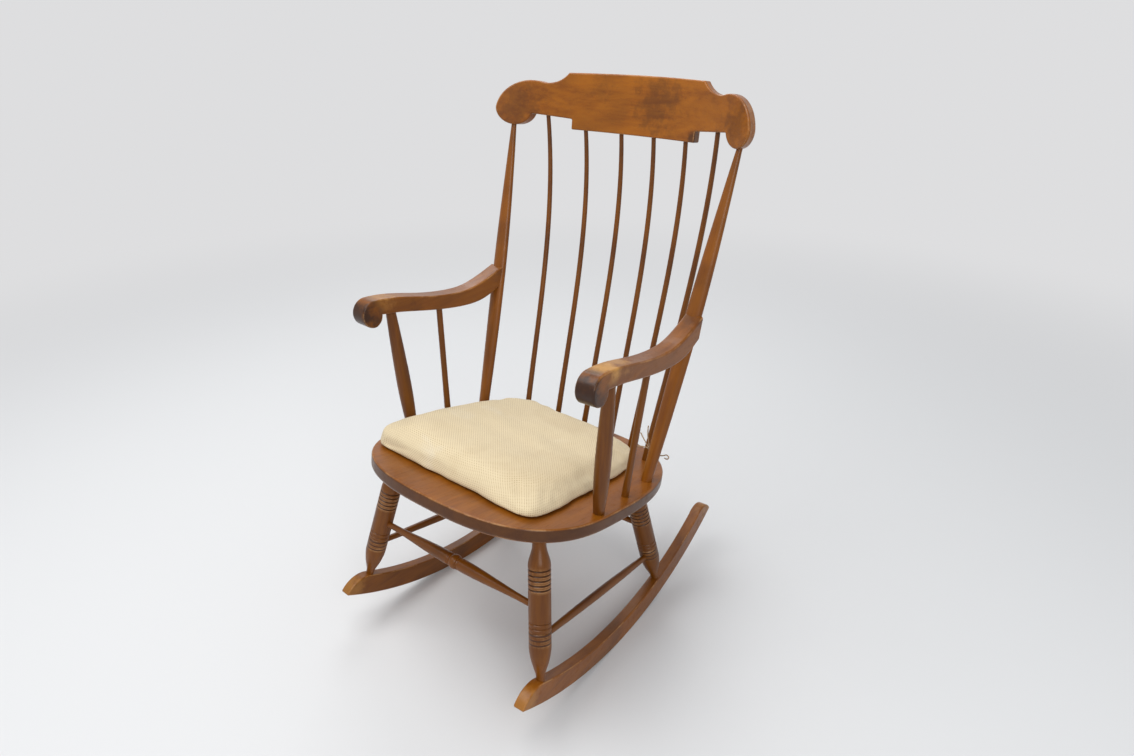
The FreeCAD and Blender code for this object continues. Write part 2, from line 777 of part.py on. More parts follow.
def build():
    nodes = {}
    post = back_post()
    spindles = [back_spindle(index) for index in range(3)]
    post_solid = post.solid().cut(arm_tenon_hole(post))

    seat = seat_plank()
    cuts = []
    for front in (True, False):
        top, foot = leg_ends(front)
        way = (foot - top).normalize()
        cuts.append(rod(top - way * seat_socket_depth, top + way * hole_run_out, leg_neck_radius + glue_gap))
    for stick in [post] + spindles:
        cuts.append(stick.base_tenon(glue_gap, hole_run_out))
    for kind in ("post", "spindle"):
        cuts.append(upright_sockets(kind)[0])
    nodes["seat"] = seat.cut(cuts + [mirrored(cut) for cut in cuts])

    crest_cuts = [stick.top_tenon(glue_gap, hole_run_out) for stick in [post] + spindles]
    nodes["crest_rail"] = crest_rail().cut(crest_cuts + [mirrored(cut) for cut in crest_cuts])

    arm_solid = coped_arm(post).cut([upright_sockets(kind)[1] for kind in ("post", "spindle")])
    pieces = {"back_post": post_solid, "arm": arm_solid}
    pieces["arm_post"] = upright("post")
    pieces["arm_spindle"] = upright("spindle")

    stretchers = {kind: stretcher_line(kind) for kind in ("front", "rear", "side")}
    holes = {}
    for kind, (start, end) in stretchers.items():
        way = (end - start).normalize()
        reach = leg_socket_depth + hole_run_out
        first = rod(start, start + way * reach, stretcher_end_radius + glue_gap)
        last = rod(end, end - way * reach, stretcher_end_radius + glue_gap)
        holes[kind] = (first, last)
    pieces["front_leg"] = leg(True).cut([holes["front"][0], holes["side"][0]])
    pieces["rear_leg"] = leg(False).cut([holes["rear"][0], holes["side"][1]])
    feet = []
    for front in (True, False):
        top, foot = leg_ends(front)
        way = (foot - top).normalize()
        mouth, end = foot - way * hole_run_out, foot + way * rocker_socket_depth
        feet.append(rod(mouth, end, leg_foot_radius + glue_gap))
    pieces["rocker"] = rocker().cut(feet)
    pieces["side_stretcher"] = plain_stretcher(*stretchers["side"])
    for name, shape in pieces.items():
        nodes[name + "_left"] = shape
        nodes[name + "_right"] = mirrored(shape)
    for index, stick in enumerate(spindles):
        solid = stick.solid()
        nodes["back_spindle_left_%d" % (index + 1)] = solid
        nodes["back_spindle_right_%d" % (index + 1)] = mirrored(solid)
    nodes["front_stretcher"] = beaded_stretcher(*stretchers["front"])
    nodes["rear_stretcher"] = plain_stretcher(*stretchers["rear"])
    nodes["cushion_tie"] = twine(tie_points)
    nodes["tie_tail_short"] = twine(tie_short_tail)
    nodes["tie_tail_long"] = twine(tie_long_tail)
    ties = [nodes["cushion_tie"], nodes["tie_tail_short"], nodes["tie_tail_long"]]
    nodes["tie_knot"] = Part.makeSphere(tie_knot_radius, Vector(*tie_knot_centre)).cut(ties)
    nodes["seat_cushion"] = seat_cushion().cut([nodes["cushion_tie"]])
    for name, shape in nodes.items():
        if len(shape.Solids) != 1:
            print("solids", name, [round(solid.Volume) for solid in shape.Solids])
    return {name: max(shape.Solids, key=lambda solid: solid.Volume).copy() for name, shape in nodes.items()}


def centre_of_mass(nodes):
    weight, moment = 0.0, Vector(0, 0, 0)
    for name, shape in nodes.items():
        density = cushion_density if name == "seat_cushion" else wood_density
        weight += shape.Volume * density
        moment = moment + shape.CenterOfMass * (shape.Volume * density)
    return moment * (1.0 / weight)


def finish(nodes):
    axle = Vector(0, 0, rocker_radius)
    for shape in nodes.values():
        shape.rotate(axle, Vector(1, 0, 0), -rest_lean)
    hard = [shape for name, shape in nodes.items() if name != "seat_cushion"]
    boxes = [shape.optimalBoundingBox(False, False) for shape in hard]
    middle = 0.5 * (min(box.YMin for box in boxes) + max(box.YMax for box in boxes))
    for shape in nodes.values():
        shape.translate(Vector(0, -middle, 0))
    return middle


os.makedirs("parts", exist_ok=True)
nodes = build()
balance = centre_of_mass(nodes)
print("centre of mass before the lean", balance, "rest lean for balance",
      math.degrees(math.atan2(balance.y, rocker_radius - balance.z)))
print("moved by", finish(nodes))
for name, shape in nodes.items():
    print(name, "valid", shape.isValid(), "solids", len(shape.Solids), "cm3", round(shape.Volume / 1000, 1))
    shape.exportStep("parts/%s.step" % name)
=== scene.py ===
import math

import bmesh
import bpy
import numpy as np
from mathutils import Matrix, Vector


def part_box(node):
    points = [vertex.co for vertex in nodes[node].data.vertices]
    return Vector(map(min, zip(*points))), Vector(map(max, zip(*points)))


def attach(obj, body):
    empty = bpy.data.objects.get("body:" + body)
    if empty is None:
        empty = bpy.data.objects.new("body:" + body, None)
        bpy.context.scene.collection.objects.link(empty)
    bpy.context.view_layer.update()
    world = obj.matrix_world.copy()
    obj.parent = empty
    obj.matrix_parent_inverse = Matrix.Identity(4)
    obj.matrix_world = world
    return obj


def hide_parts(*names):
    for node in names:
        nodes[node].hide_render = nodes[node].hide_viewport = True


# A high-backed rocking chair in orange-brown lacquered wood with a cream seat cushion, on a pale floor.
# Metres, +Z up, the sitter faces -Y, +X is the sitter's left.

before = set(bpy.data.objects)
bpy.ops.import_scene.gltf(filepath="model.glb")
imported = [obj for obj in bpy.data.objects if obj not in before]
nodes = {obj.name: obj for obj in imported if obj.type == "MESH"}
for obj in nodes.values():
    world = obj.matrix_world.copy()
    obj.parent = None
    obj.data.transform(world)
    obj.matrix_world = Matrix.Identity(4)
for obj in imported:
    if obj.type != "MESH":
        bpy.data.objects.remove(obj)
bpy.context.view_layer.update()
print("frame loaded:", len(nodes), "pieces")

view = {
    "place": (0.9075, -1.0765, 1.1939),
    "azimuth": 38.113,      # degrees round the chair
    "elevation": 25.437,    # degrees above the horizon
    "roll": 0.050,
    "lens": 24.716,         # millimetres, for a frame of the next width
    "sensorWidth": 36.0,
    "clipEnd": 200.0,
}

chair = {
    "axleY": -0.01194,      # the rockers' arc centre
    "axleZ": 0.712,
    "lean": 0.26,           # degrees that the whole chair leans back
    "seatOrigin": (0.0, -0.097, 0.377),
    "seatSlope": 10.5,      # degrees, down towards the back
    "seatThickness": 0.028,
}


def placed(x, y, z):
    # A point of the upright drawing of the chair, leaned back about the axle and moved to its place.
    lean = math.radians(chair["lean"])
    up = z - chair["axleZ"]
    return Vector((x, chair["axleY"] + y * math.cos(lean) + up * math.sin(lean),
                   chair["axleZ"] - y * math.sin(lean) + up * math.cos(lean)))


def onSeat(x, y, height=0.0):
    # The point over x, y of the drawing that lies this high off the seat's top face, square to it.
    slope = math.radians(chair["seatSlope"])
    originY, originZ = chair["seatOrigin"][1], chair["seatOrigin"][2]
    return placed(x, y, originZ - (y - originY) * math.tan(slope) + height / math.cos(slope))


def makeCamera():
    az, el = math.radians(view["azimuth"]), math.radians(view["elevation"])
    roll = math.radians(view["roll"])
    back = Vector((math.sin(az) * math.cos(el), -math.cos(az) * math.cos(el), math.sin(el)))
    right = Vector((math.cos(az), math.sin(az), 0.0))
    up = back.cross(right)
    acrossFrame = right * math.cos(roll) + up * math.sin(roll)
    upFrame = up * math.cos(roll) - right * math.sin(roll)
    data = bpy.data.cameras.new("camera")
    data.lens = view["lens"]
    data.sensor_width = view["sensorWidth"]
    data.sensor_fit = "HORIZONTAL"
    data.clip_end = view["clipEnd"]
    camera = bpy.data.objects.new("camera", data)
    bpy.context.scene.collection.objects.link(camera)
    turn = Matrix((acrossFrame, upFrame, back)).transposed().to_4x4()
    camera.matrix_world = Matrix.Translation(view["place"]) @ turn
    bpy.context.scene.camera = camera


makeCamera()
print("camera set")


# Shader building. Every place is only where a node lies in the editor.

def addNode(tree, kind, place=(0, 0), **settings):
    node = tree.nodes.new(kind)
    node.location = place
    for name, value in settings.items():
        setattr(node, name, value)
    return node


def join(tree, output, target):
    tree.links.new(output, target)


def isSocket(value):
    return isinstance(value, bpy.types.NodeSocket)


def feed(tree, socket, value):
    # A socket takes either another node's output or a plain value.
    if isSocket(value):
        join(tree, value, socket)
    else:
        socket.default_value = value


def setInputs(node, values):
    for name, value in values.items():
        node.inputs[name].default_value = value


def doMath(tree, operation, first, second=0.0, place=(0, 0), third=None, clamp=False):
    node = addNode(tree, "ShaderNodeMath", place, operation=operation, use_clamp=clamp)
    feed(tree, node.inputs[0], first)
    feed(tree, node.inputs[1], second)
    if third is not None:
        feed(tree, node.inputs[2], third)
    return node.outputs[0]


def vectorMath(tree, operation, first, second=None, place=(0, 0)):
    node = addNode(tree, "ShaderNodeVectorMath", place, operation=operation)
    feed(tree, node.inputs[0], first)
    if second is not None:
        feed(tree, node.inputs[1], second)
    return node.outputs["Value" if operation in ("DOT_PRODUCT", "DISTANCE", "LENGTH") else "Vector"]


def ramp(tree, value, low, high, place=(0, 0), lowTo=0.0, highTo=1.0):
    # A smooth step from lowTo to highTo as value goes from low to high.
    node = addNode(tree, "ShaderNodeMapRange", place, interpolation_type="SMOOTHSTEP")
    feed(tree, node.inputs["Value"], value)
    setInputs(node, {"From Min": low, "From Max": high, "To Min": lowTo, "To Max": highTo})
    return node.outputs["Result"]


def mixColour(tree, share, first, second, place=(0, 0)):
    node = addNode(tree, "ShaderNodeMix", place, data_type="RGBA", blend_type="MIX")
    factor, colours = node.inputs[0], node.inputs[6:8]
    feed(tree, factor, share)
    for socket, value in zip(colours, (first, second)):
        feed(tree, socket, value if isSocket(value) else tuple(value) + (1.0,))
    return node.outputs[2]


def noise(tree, vector, scale, detail, place=(0, 0), roughness=0.5, distortion=0.0):
    node = addNode(tree, "ShaderNodeTexNoise", place)
    join(tree, vector, node.inputs["Vector"])
    setInputs(node, {"Scale": scale, "Detail": detail, "Roughness": roughness, "Distortion": distortion})
    return node.outputs["Fac"]


def addBump(tree, shader, height, strength, distance, place):
    bump = addNode(tree, "ShaderNodeBump", place)
    setInputs(bump, {"Strength": strength, "Distance": distance})
    join(tree, height, bump.inputs["Height"])
    join(tree, bump.outputs["Normal"], shader.inputs["Normal"])


def newMaterial(name):
    material = bpy.data.materials.new(name)
    material.use_nodes = True
    tree = material.node_tree
    tree.nodes.clear()
    output = addNode(tree, "ShaderNodeOutputMaterial", (1400, 0))
    shader = addNode(tree, "ShaderNodeBsdfPrincipled", (1100, 0))
    join(tree, shader.outputs["BSDF"], output.inputs["Surface"])
    return material, tree, shader


def newGroup(name, inputs, outputs):
    tree = bpy.data.node_groups.new(name, "ShaderNodeTree")
    for label, kind, value in inputs:
        socket = tree.interface.new_socket(name=label, in_out="INPUT", socket_type=kind)
        if value is not None:
            socket.default_value = value
    for label in outputs:
        tree.interface.new_socket(name=label, in_out="OUTPUT", socket_type="NodeSocketFloat")
    return tree, addNode(tree, "NodeGroupInput", (-1200, 0)), addNode(tree, "NodeGroupOutput", (900, 0))


def useGroup(tree, group, place=(0, 0), **values):
    node = addNode(tree, "ShaderNodeGroup", place, node_tree=group)
    for name, value in values.items():
        feed(tree, node.inputs[name], value)
    return node


# Wood grain along the vector's Z: long streaks, slow colour bands and short dark pores. squeeze is how
# little the noise changes along the grain, and the mask goes from 0 at low to 1 at high.
grainMasks = {
    "Streaks": {"squeeze": 0.055, "scale": 170.0, "detail": 4.0, "roughness": 0.5, "distortion": 0.4,
                "low": 0.32, "high": 0.68},
    "Bands": {"squeeze": 0.22, "scale": 26.0, "detail": 3.0, "roughness": 0.5, "distortion": 1.2,
              "low": 0.32, "high": 0.68},
    "Pores": {"squeeze": 0.035, "scale": 900.0, "detail": 2.0, "roughness": 0.5, "distortion": 0.0,
              "low": 0.60, "high": 0.72},
}

# What handling and old wax leave: slow darkening, fine scuffs and middling patches.
patinaMasks = {
    "Dark": {"squeeze": 1.0, "scale": 5.5, "detail": 3.0, "roughness": 0.5, "distortion": 0.6,
             "low": 0.40, "high": 0.74},
    "Scuffs": {"squeeze": 1.0, "scale": 75.0, "detail": 5.0, "roughness": 0.65, "distortion": 0.0,
               "low": 0.48, "high": 0.78},
    "Patches": {"squeeze": 1.0, "scale": 48.0, "detail": 4.0, "roughness": 0.6, "distortion": 0.0,
                "low": 0.30, "high": 0.70},
}

wear = {
    "coarseScale": 22.0,
    "fineScale": 240.0,
    "detail": 3.0,
    "coarseShare": 0.75,    # of the two noises' sum
    "fineShare": 0.25,
    "startLow": 0.16,       # the sum at which wear starts, at full reach
    "startRise": 0.62,      # and how much more it takes at no reach
    "contrast": 7.0,
}


def makeMaskGroup(name, masks):
    tree, given, result = newGroup(name, [("Vector", "NodeSocketVector", None)], masks)
    for index, (label, mask) in enumerate(masks.items()):
        row = 300 - 300 * index
        stretched = vectorMath(tree, "MULTIPLY", given.outputs["Vector"], (1.0, 1.0, mask["squeeze"]),
                               (-900, row))
        value = noise(tree, stretched, mask["scale"], mask["detail"], (-600, row), mask["roughness"],
                      mask["distortion"])
        join(tree, ramp(tree, value, mask["low"], mask["high"], (-300, row)), result.inputs[label])
    return tree


def makeWearGroup():
    # Turns a mask of where an edge is into patchy wear: rubbed through in spots and thin elsewhere. Wear
    # is how far the two noises' sum is over its start, times the contrast, within the mask.
    tree, given, result = newGroup("rubbedEdge", [("Vector", "NodeSocketVector", None),
                                                  ("Mask", "NodeSocketFloat", 0.0),
                                                  ("Reach", "NodeSocketFloat", 0.5)], ["Wear"])
    coarse = noise(tree, given.outputs["Vector"], wear["coarseScale"], wear["detail"], (-900, 200))
    fine = noise(tree, given.outputs["Vector"], wear["fineScale"], wear["detail"], (-900, -100))
    patch = doMath(tree, "MULTIPLY", coarse, wear["coarseShare"], (-650, 200))
    patch = doMath(tree, "MULTIPLY_ADD", fine, wear["fineShare"], (-450, 100), third=patch)
    short = doMath(tree, "SUBTRACT", 1.0, given.outputs["Reach"], (-450, -200))
    start = doMath(tree, "MULTIPLY_ADD", short, wear["startRise"], (-300, -200), third=wear["startLow"])
    over = doMath(tree, "SUBTRACT", patch, start, (-150, 0))
    over = doMath(tree, "MULTIPLY", over, wear["contrast"], (0, 0), clamp=True)
    worn = doMath(tree, "MULTIPLY", over, given.outputs["Mask"], (200, 0), clamp=True)
    join(tree, worn, result.inputs["Wear"])
    return tree


grainGroup = makeMaskGroup("woodGrain", grainMasks)
wearGroup = makeWearGroup()
patinaGroup = makeMaskGroup("handledPatina", patinaMasks)

# The lacquer's tones and how it shows. A piece's own look replaces single values.
lacquer = {
    "deep": (0.215, 0.060, 0.003),
    "middle": (0.300, 0.091, 0.004),
    "light": (0.365, 0.126, 0.007),
    "soiled": (0.030, 0.011, 0.005),
    "bare": (0.470, 0.250, 0.100),
    "worn": (0.620, 0.310, 0.070),
    "shade": 1.0,           # the deep, middle and light tones are times this
    "streaks": 0.30,        # how strongly each shows
    "pores": 0.30,
    "patina": 0.45,
    "borderBreak": 0.7,     # how far patches push a soiled ball's border in and out
    "paintedRimShade": 0.0,         # how much painted shade darkens the sides of a board
    "rimFacing": (0.35, 0.75),
    "edgeReach": 0.5,
    "edgeAmount": 0.5,
    "edgeRise": (0.18, 0.62),   # how squarely the start and end of a rounded edge face
    "edgeFall": (0.82, 0.985),
    "roughness": 0.34,
    "scuffRoughness": 0.20,
    "poreRoughness": 0.10,
    "specular": 0.26,
    "coat": 0.10,
    "coatRoughness": 0.15,
    "scuffHeight": 0.4,     # as a share of the pores' depth
    "bumpStrength": 0.35,
    "poreDepth": 0.00010,
}

# The turned grooves of the legs, as the first one's distance along the leg, their pitch and their number.
# The other marks are in pitches, from the first or the last groove or from a groove's middle.
turning = {
    "rings": {
        "front_leg": [(0.069, 0.0088, 5), (0.187, 0.0088, 3)],
        "rear_leg": [(0.069, 0.0088, 5), (0.180, 0.0088, 3)],
    },
    "before": (-0.75, -0.5),
    "after": (-0.5, -0.25),
    "groove": (0.10, 0.22),
    "lipRise": (0.19, 0.26),
    "lipFall": (0.30, 0.42),
    "lipRest": 0.25,        # what is left of the lip's wear on the bead's crown
    "grooveDark": 0.75,
    "wearReach": 0.6,
    "wearAmount": 0.6,
}


def grainVector(tree, start, along, place=(-1700, 0)):
    # Object coordinates turned and moved so that Z runs along the piece from its start.
    coords = addNode(tree, "ShaderNodeTexCoord", (place[0] - 400, place[1]))
    mapping = addNode(tree, "ShaderNodeMapping", (place[0] - 200, place[1]), vector_type="TEXTURE")
    join(tree, coords.outputs["Object"], mapping.inputs["Vector"])
    setInputs(mapping, {"Location": start,
                        "Rotation": Vector(along).to_track_quat("Z", "X").to_euler("XYZ")})
    return mapping.outputs["Vector"]


def nearBalls(tree, balls, broken, row):
    # The most that a point lies inside any of the balls: the ball's amount up to its inner radius and 0
    # past its outer one, with a border that the patches break up.
    where = addNode(tree, "ShaderNodeTexCoord", (-1600, row))
    total = 0.0
    for index, (centre, inner, outer, amount) in enumerate(balls):
        place = row - 200 * index
        far = vectorMath(tree, "DISTANCE", where.outputs["Object"], centre, (-1400, place))
        push = (outer - inner) * lacquer["borderBreak"]
        far = doMath(tree, "MULTIPLY_ADD", broken, push, (-1250, place), third=far)
        near = ramp(tree, far, inner, outer, (-1100, place), amount, 0.0)
        total = doMath(tree, "MAXIMUM", total, near, (-950, place))
    return total


def woodTones(tree, look, grain, patina, soil, rubbed):
    # Bands and streaks of three tones, then the worn balls, the soil and the dark pores over them.
    deep, middle, light = (tuple(look["shade"] * part for part in look[tone])
                           for tone in ("deep", "middle", "light"))
    colour = mixColour(tree, grain.outputs["Bands"], deep, middle, (-900, 400))
    streaks = doMath(tree, "MULTIPLY", grain.outputs["Streaks"], look["streaks"], (-900, 200))
    colour = mixColour(tree, streaks, colour, light, (-700, 400))
    dark = doMath(tree, "MULTIPLY", patina.outputs["Dark"], look["patina"], (-700, 0))
    patches = doMath(tree, "SUBTRACT", patina.outputs["Patches"], 0.5, (-1150, -350))
    if soil:
        dark = doMath(tree, "MAXIMUM", dark, nearBalls(tree, soil, patches, -1900), (-550, -100))
    if rubbed:
        colour = mixColour(tree, nearBalls(tree, rubbed, patches, -2700), colour, look["worn"], (-480, 450))
    colour = mixColour(tree, dark, colour, look["soiled"], (-400, 300))
    pores = doMath(tree, "MULTIPLY", grain.outputs["Pores"], look["pores"], (-550, 150))
    return mixColour(tree, pores, colour, look["soiled"], (-200, 300))


def ringShading(tree, vector, colour, look, rings):
    # Dark in the turned grooves and rubbed light on the beads between them, by distance along the stick.
    axes = addNode(tree, "ShaderNodeSeparateXYZ", (-1200, -1000))
    join(tree, vector, axes.inputs[0])
    rubbed, shaded = 0.0, 0.0
    for index, (first, pitch, count) in enumerate(rings):
        row = -1000 - 500 * index
        steps = doMath(tree, "SUBTRACT", axes.outputs["Z"], first, (-1000, row))
        steps = doMath(tree, "DIVIDE", steps, pitch, (-850, row))
        inside = ramp(tree, steps, *turning["before"], (-700, row - 150))
        low, high = (count + mark for mark in turning["after"])
        outside = ramp(tree, steps, low, high, (-700, row - 300), 1.0, 0.0)
        here = doMath(tree, "MULTIPLY", inside, outside, (-500, row - 150))
        # How far the nearest groove's middle is: a half more, the part after the point, less a half.
        away = doMath(tree, "ADD", steps, 0.5, (-700, row))
        away = doMath(tree, "FRACT", away, place=(-550, row))
        away = doMath(tree, "SUBTRACT", away, 0.5, (-400, row))
        away = doMath(tree, "ABSOLUTE", away, place=(-250, row))
        groove = ramp(tree, away, *turning["groove"], (-100, row), 1.0, 0.0)
        rise = ramp(tree, away, *turning["lipRise"], (-100, row - 150))
        fall = ramp(tree, away, *turning["lipFall"], (-100, row - 300), 1.0, turning["lipRest"])
        lip = doMath(tree, "MULTIPLY", rise, fall, (50, row - 150))
        groove = doMath(tree, "MULTIPLY", groove, here, (50, row))
        lip = doMath(tree, "MULTIPLY", lip, here, (200, row - 150))
        shaded = doMath(tree, "MAXIMUM", shaded, groove, (200, row))
        rubbed = doMath(tree, "MAXIMUM", rubbed, lip, (350, row))
    shaded = doMath(tree, "MULTIPLY", shaded, turning["grooveDark"], (500, -1000))
    colour = mixColour(tree, shaded, colour, look["soiled"], (0, 400))
    worn = useGroup(tree, wearGroup, (500, -1200), Vector=vector, Mask=rubbed, Reach=turning["wearReach"])
    amount = doMath(tree, "MULTIPLY", worn.outputs["Wear"], turning["wearAmount"], (700, -1200))
    return mixColour(tree, amount, colour, look["bare"], (150, 400))


def broadFacing(tree, edge):
    # 1 where the surface faces as the piece's broad faces do and 0 where it faces square to them.
    coords = addNode(tree, "ShaderNodeTexCoord", (-1200, -700))
    if "bentAbout" in edge:
        # The broad face of a bent board faces away from the upright line that it is bent about.
        spread = vectorMath(tree, "SUBTRACT", coords.outputs["Object"], edge["bentAbout"], (-1400, -850))
        level = vectorMath(tree, "MULTIPLY", spread, (1.0, 1.0, 0.0), (-1200, -850))
        faces = vectorMath(tree, "NORMALIZE", level, place=(-1050, -850))
    else:
        faces = Vector(edge["faces"]).normalized()
    facing = vectorMath(tree, "DOT_PRODUCT", coords.outputs["Normal"], faces, (-900, -700))
    return doMath(tree, "ABSOLUTE", facing, place=(-700, -700))


def edgeShading(tree, vector, colour, look, edge):
    # The sides of a board darkened with painted shade, and its rounded edges rubbed through in spots.
    facing = broadFacing(tree, edge)
    if look["paintedRimShade"]:
        # Painted shade: the sides, which face square to the broad faces, are mixed towards the dark soiled
        # tone.
        rim = ramp(tree, facing, *look["rimFacing"], (-500, -1000), look["paintedRimShade"], 0.0)
        colour = mixColour(tree, rim, colour, look["soiled"], (-100, 200))
    rising = ramp(tree, facing, *look["edgeRise"], (-500, -650))
    falling = ramp(tree, facing, *look["edgeFall"], (-500, -850), 1.0, 0.0)
    onEdge = doMath(tree, "MULTIPLY", rising, falling, (-300, -700))
    worn = useGroup(tree, wearGroup, (-100, -600), Vector=vector, Mask=onEdge, Reach=look["edgeReach"])
    amount = doMath(tree, "MULTIPLY", worn.outputs["Wear"], look["edgeAmount"], (100, -500))
    return mixColour(tree, amount, colour, look["bare"], (300, 200))


def lacqueredWood(name, start, along, looks, edge=None, soil=(), rubbed=(), rings=None):
    # Lacquered wood whose grain runs along the piece. edge gives the direction of the piece's broad
    # faces, so that its rounded edges are found by the way they face. soil and rubbed list balls where
    # it is darkest and where it is worn pale.
    look = dict(lacquer, **looks)
    material, tree, shader = newMaterial(name)
    vector = grainVector(tree, start, along)
    grain = useGroup(tree, grainGroup, (-1200, 300), Vector=vector)
    patina = useGroup(tree, patinaGroup, (-1200, -100), Vector=vector)
    colour = woodTones(tree, look, grain, patina, soil, rubbed)
    if rings:
        colour = ringShading(tree, vector, colour, look, rings)
    if edge:
        colour = edgeShading(tree, vector, colour, look, edge)
    join(tree, colour, shader.inputs["Base Color"])
    scuffs, pores = patina.outputs["Scuffs"], grain.outputs["Pores"]
    rough = doMath(tree, "MULTIPLY_ADD", scuffs, look["scuffRoughness"], (600, -200), third=look["roughness"])
    rough = doMath(tree, "MULTIPLY_ADD", pores, look["poreRoughness"], (800, -200), third=rough)
    join(tree, rough, shader.inputs["Roughness"])
    setInputs(shader, {"Specular IOR Level": look["specular"], "Coat Weight": look["coat"],
                       "Coat Roughness": look["coatRoughness"]})
    # Height is 1 less the pores, and more by the scuffs.
    height = doMath(tree, "MULTIPLY_ADD", pores, -1.0, (600, -450), third=1.0)
    height = doMath(tree, "MULTIPLY_ADD", scuffs, look["scuffHeight"], (800, -450), third=height)
    addBump(tree, shader, height, look["bumpStrength"], look["poreDepth"], (950, -400))
    return material


def finishNode(name, material):
    piece = nodes[name]
    piece.data.materials.clear()
    piece.data.materials.append(material)


# The wood, in the drawing's metres. Each stick of the sitter's left runs from its first point to its
# second, and the first lies on the seat's top or under the seat where it says so.
sticks = {
    "front_leg": {"from": (0.184, -0.219, "under"), "to": (0.2367, -0.283, 0.0987), "shade": 0.62},
    "rear_leg": {"from": (0.173, 0.089, "under"), "to": (0.2158, 0.135, 0.0567), "shade": 0.52},
    "back_post": {"from": (0.224, 0.064, "seat"), "to": (0.268, 0.246, 0.968), "shade": 0.80},
    # The arm posts' darker tone is painted shade, as from light falling from above.
    "arm_post": {"from": (0.244, -0.126, "seat"), "to": (0.2670, -0.136, 0.648), "shade": 0.55},
    "arm_spindle": {"from": (0.236, -0.030, "seat"), "to": (0.2605, -0.013, 0.622), "shade": 0.60},
    "side_stretcher": {"from": (0.222, -0.265, 0.178), "to": (0.205, 0.123, 0.122), "shade": 0.58},
}
spindles = {
    "shade": 0.60,
    1: {"from": (0.038, 0.206, "seat"), "to": (0.0395, 0.324, 0.958)},
    2: {"from": (0.103, 0.189, "seat"), "to": (0.1215, 0.311, 0.959)},
    3: {"from": (0.1645, 0.151, "seat"), "to": (0.203, 0.284, 0.985)},
}
stickPatina = 0.5

# Marks are balls: the centre, the inner and outer radius and the amount. Those of the arms are by side,
# 1 the sitter's left, since the photograph shows each as worn in its own way.
arms = {
    "start": (0.262, -0.2, 0.66),
    "toeOut": 0.053,        # across, for each metre towards the back
    "rise": 0.05,
    "look": {"shade": 0.76, "patina": 0.45, "roughness": 0.32},
    "soil": {
        1: [((0.264, -0.222, 0.652), 0.022, 0.068, 0.97), ((0.285, -0.195, 0.640), 0.010, 0.050, 0.80),
            ((0.268, -0.155, 0.640), 0.008, 0.040, 0.60), ((0.250, 0.150, 0.668), 0.004, 0.045, 0.45)],
        -1: [((-0.272, -0.218, 0.650), 0.018, 0.062, 0.92), ((-0.262, -0.090, 0.640), 0.004, 0.035, 0.40)],
    },
    "rubbed": {
        1: [((0.268, -0.150, 0.688), 0.010, 0.040, 0.85), ((0.262, -0.105, 0.676), 0.004, 0.034, 0.50)],
        -1: [((-0.268, -0.150, 0.690), 0.004, 0.040, 0.40)],
    },
}
rockers = {
    "start": (0.2225, 0, 0.03),
    "toeIn": 0.05,
    "look": {"patina": 0.5, "edgeAmount": 0.6},
    # The sitter's right rocker has a lower tone than the left: painted shade.
    "shade": {1: 0.82, -1: 0.62},
    "tips": [((0.240, -0.345, 0.10), 0.01, 0.05, 0.25), ((0.204, 0.372, 0.12), 0.01, 0.05, 0.35)],
}
seat = {
    "start": (0.13, -0.097, 0.36),
    "along": (0, 1, -0.185),
    # The seat's sides are darkened with painted shade.
    "look": {"shade": 0.86, "paintedRimShade": 0.72, "patina": 0.3},
}
crest = {
    "start": (0, 0.33, 1.0),
    "bentAbout": (0, -0.161, 1.0),
    "look": {"shade": 1.06, "patina": 0.30},
    "soil": [((0.052, 0.325, 1.025), 0.004, 0.085, 0.46), ((-0.085, 0.31, 1.045), 0.0, 0.045, 0.30),
             ((-0.262, 0.255, 1.0), 0.01, 0.075, 0.42), ((0.262, 0.255, 1.0), 0.01, 0.075, 0.40),
             ((0.147, 0.30, 0.968), 0.004, 0.022, 0.75)],
}
crossStretchers = {"look": {"shade": 0.66, "patina": 0.5}}

leanTurn = Matrix.Rotation(math.radians(-chair["lean"]), 3, "X")
seatNormal = leanTurn @ Vector((0, math.sin(math.radians(chair["seatSlope"])),
                                math.cos(math.radians(chair["seatSlope"]))))


def stickLine(stick, side):
    (x, y, z), top = stick["from"], stick["to"]
    if z == "seat":
        start = onSeat(side * x, y)
    elif z == "under":
        start = onSeat(side * x, y, -chair["seatThickness"])
    else:
        start = placed(side * x, y, z)
    return start, placed(side * top[0], top[1], top[2]) - start


def placedMarks(marks, side=1):
    return [(placed(side * x, y, z), inner, outer, amount) for (x, y, z), inner, outer, amount in marks]


def sideStart(point, side):
    return placed(side * point[0], point[1], point[2])


def finishSticks(side, label):
    for name, stick in sticks.items():
        start, along = stickLine(stick, side)
        look = {"shade": stick["shade"], "patina": stickPatina}
        material = lacqueredWood("%sWood%s" % (name, label.title()), start, along, look,
                                 rings=turning["rings"].get(name))
        finishNode("%s_%s" % (name, label), material)
    for index in (1, 2, 3):
        start, along = stickLine(spindles[index], side)
        look = {"shade": spindles["shade"], "patina": stickPatina}
        material = lacqueredWood("spindleWood%s%d" % (label.title(), index), start, along, look)
        finishNode("back_spindle_%s_%d" % (label, index), material)


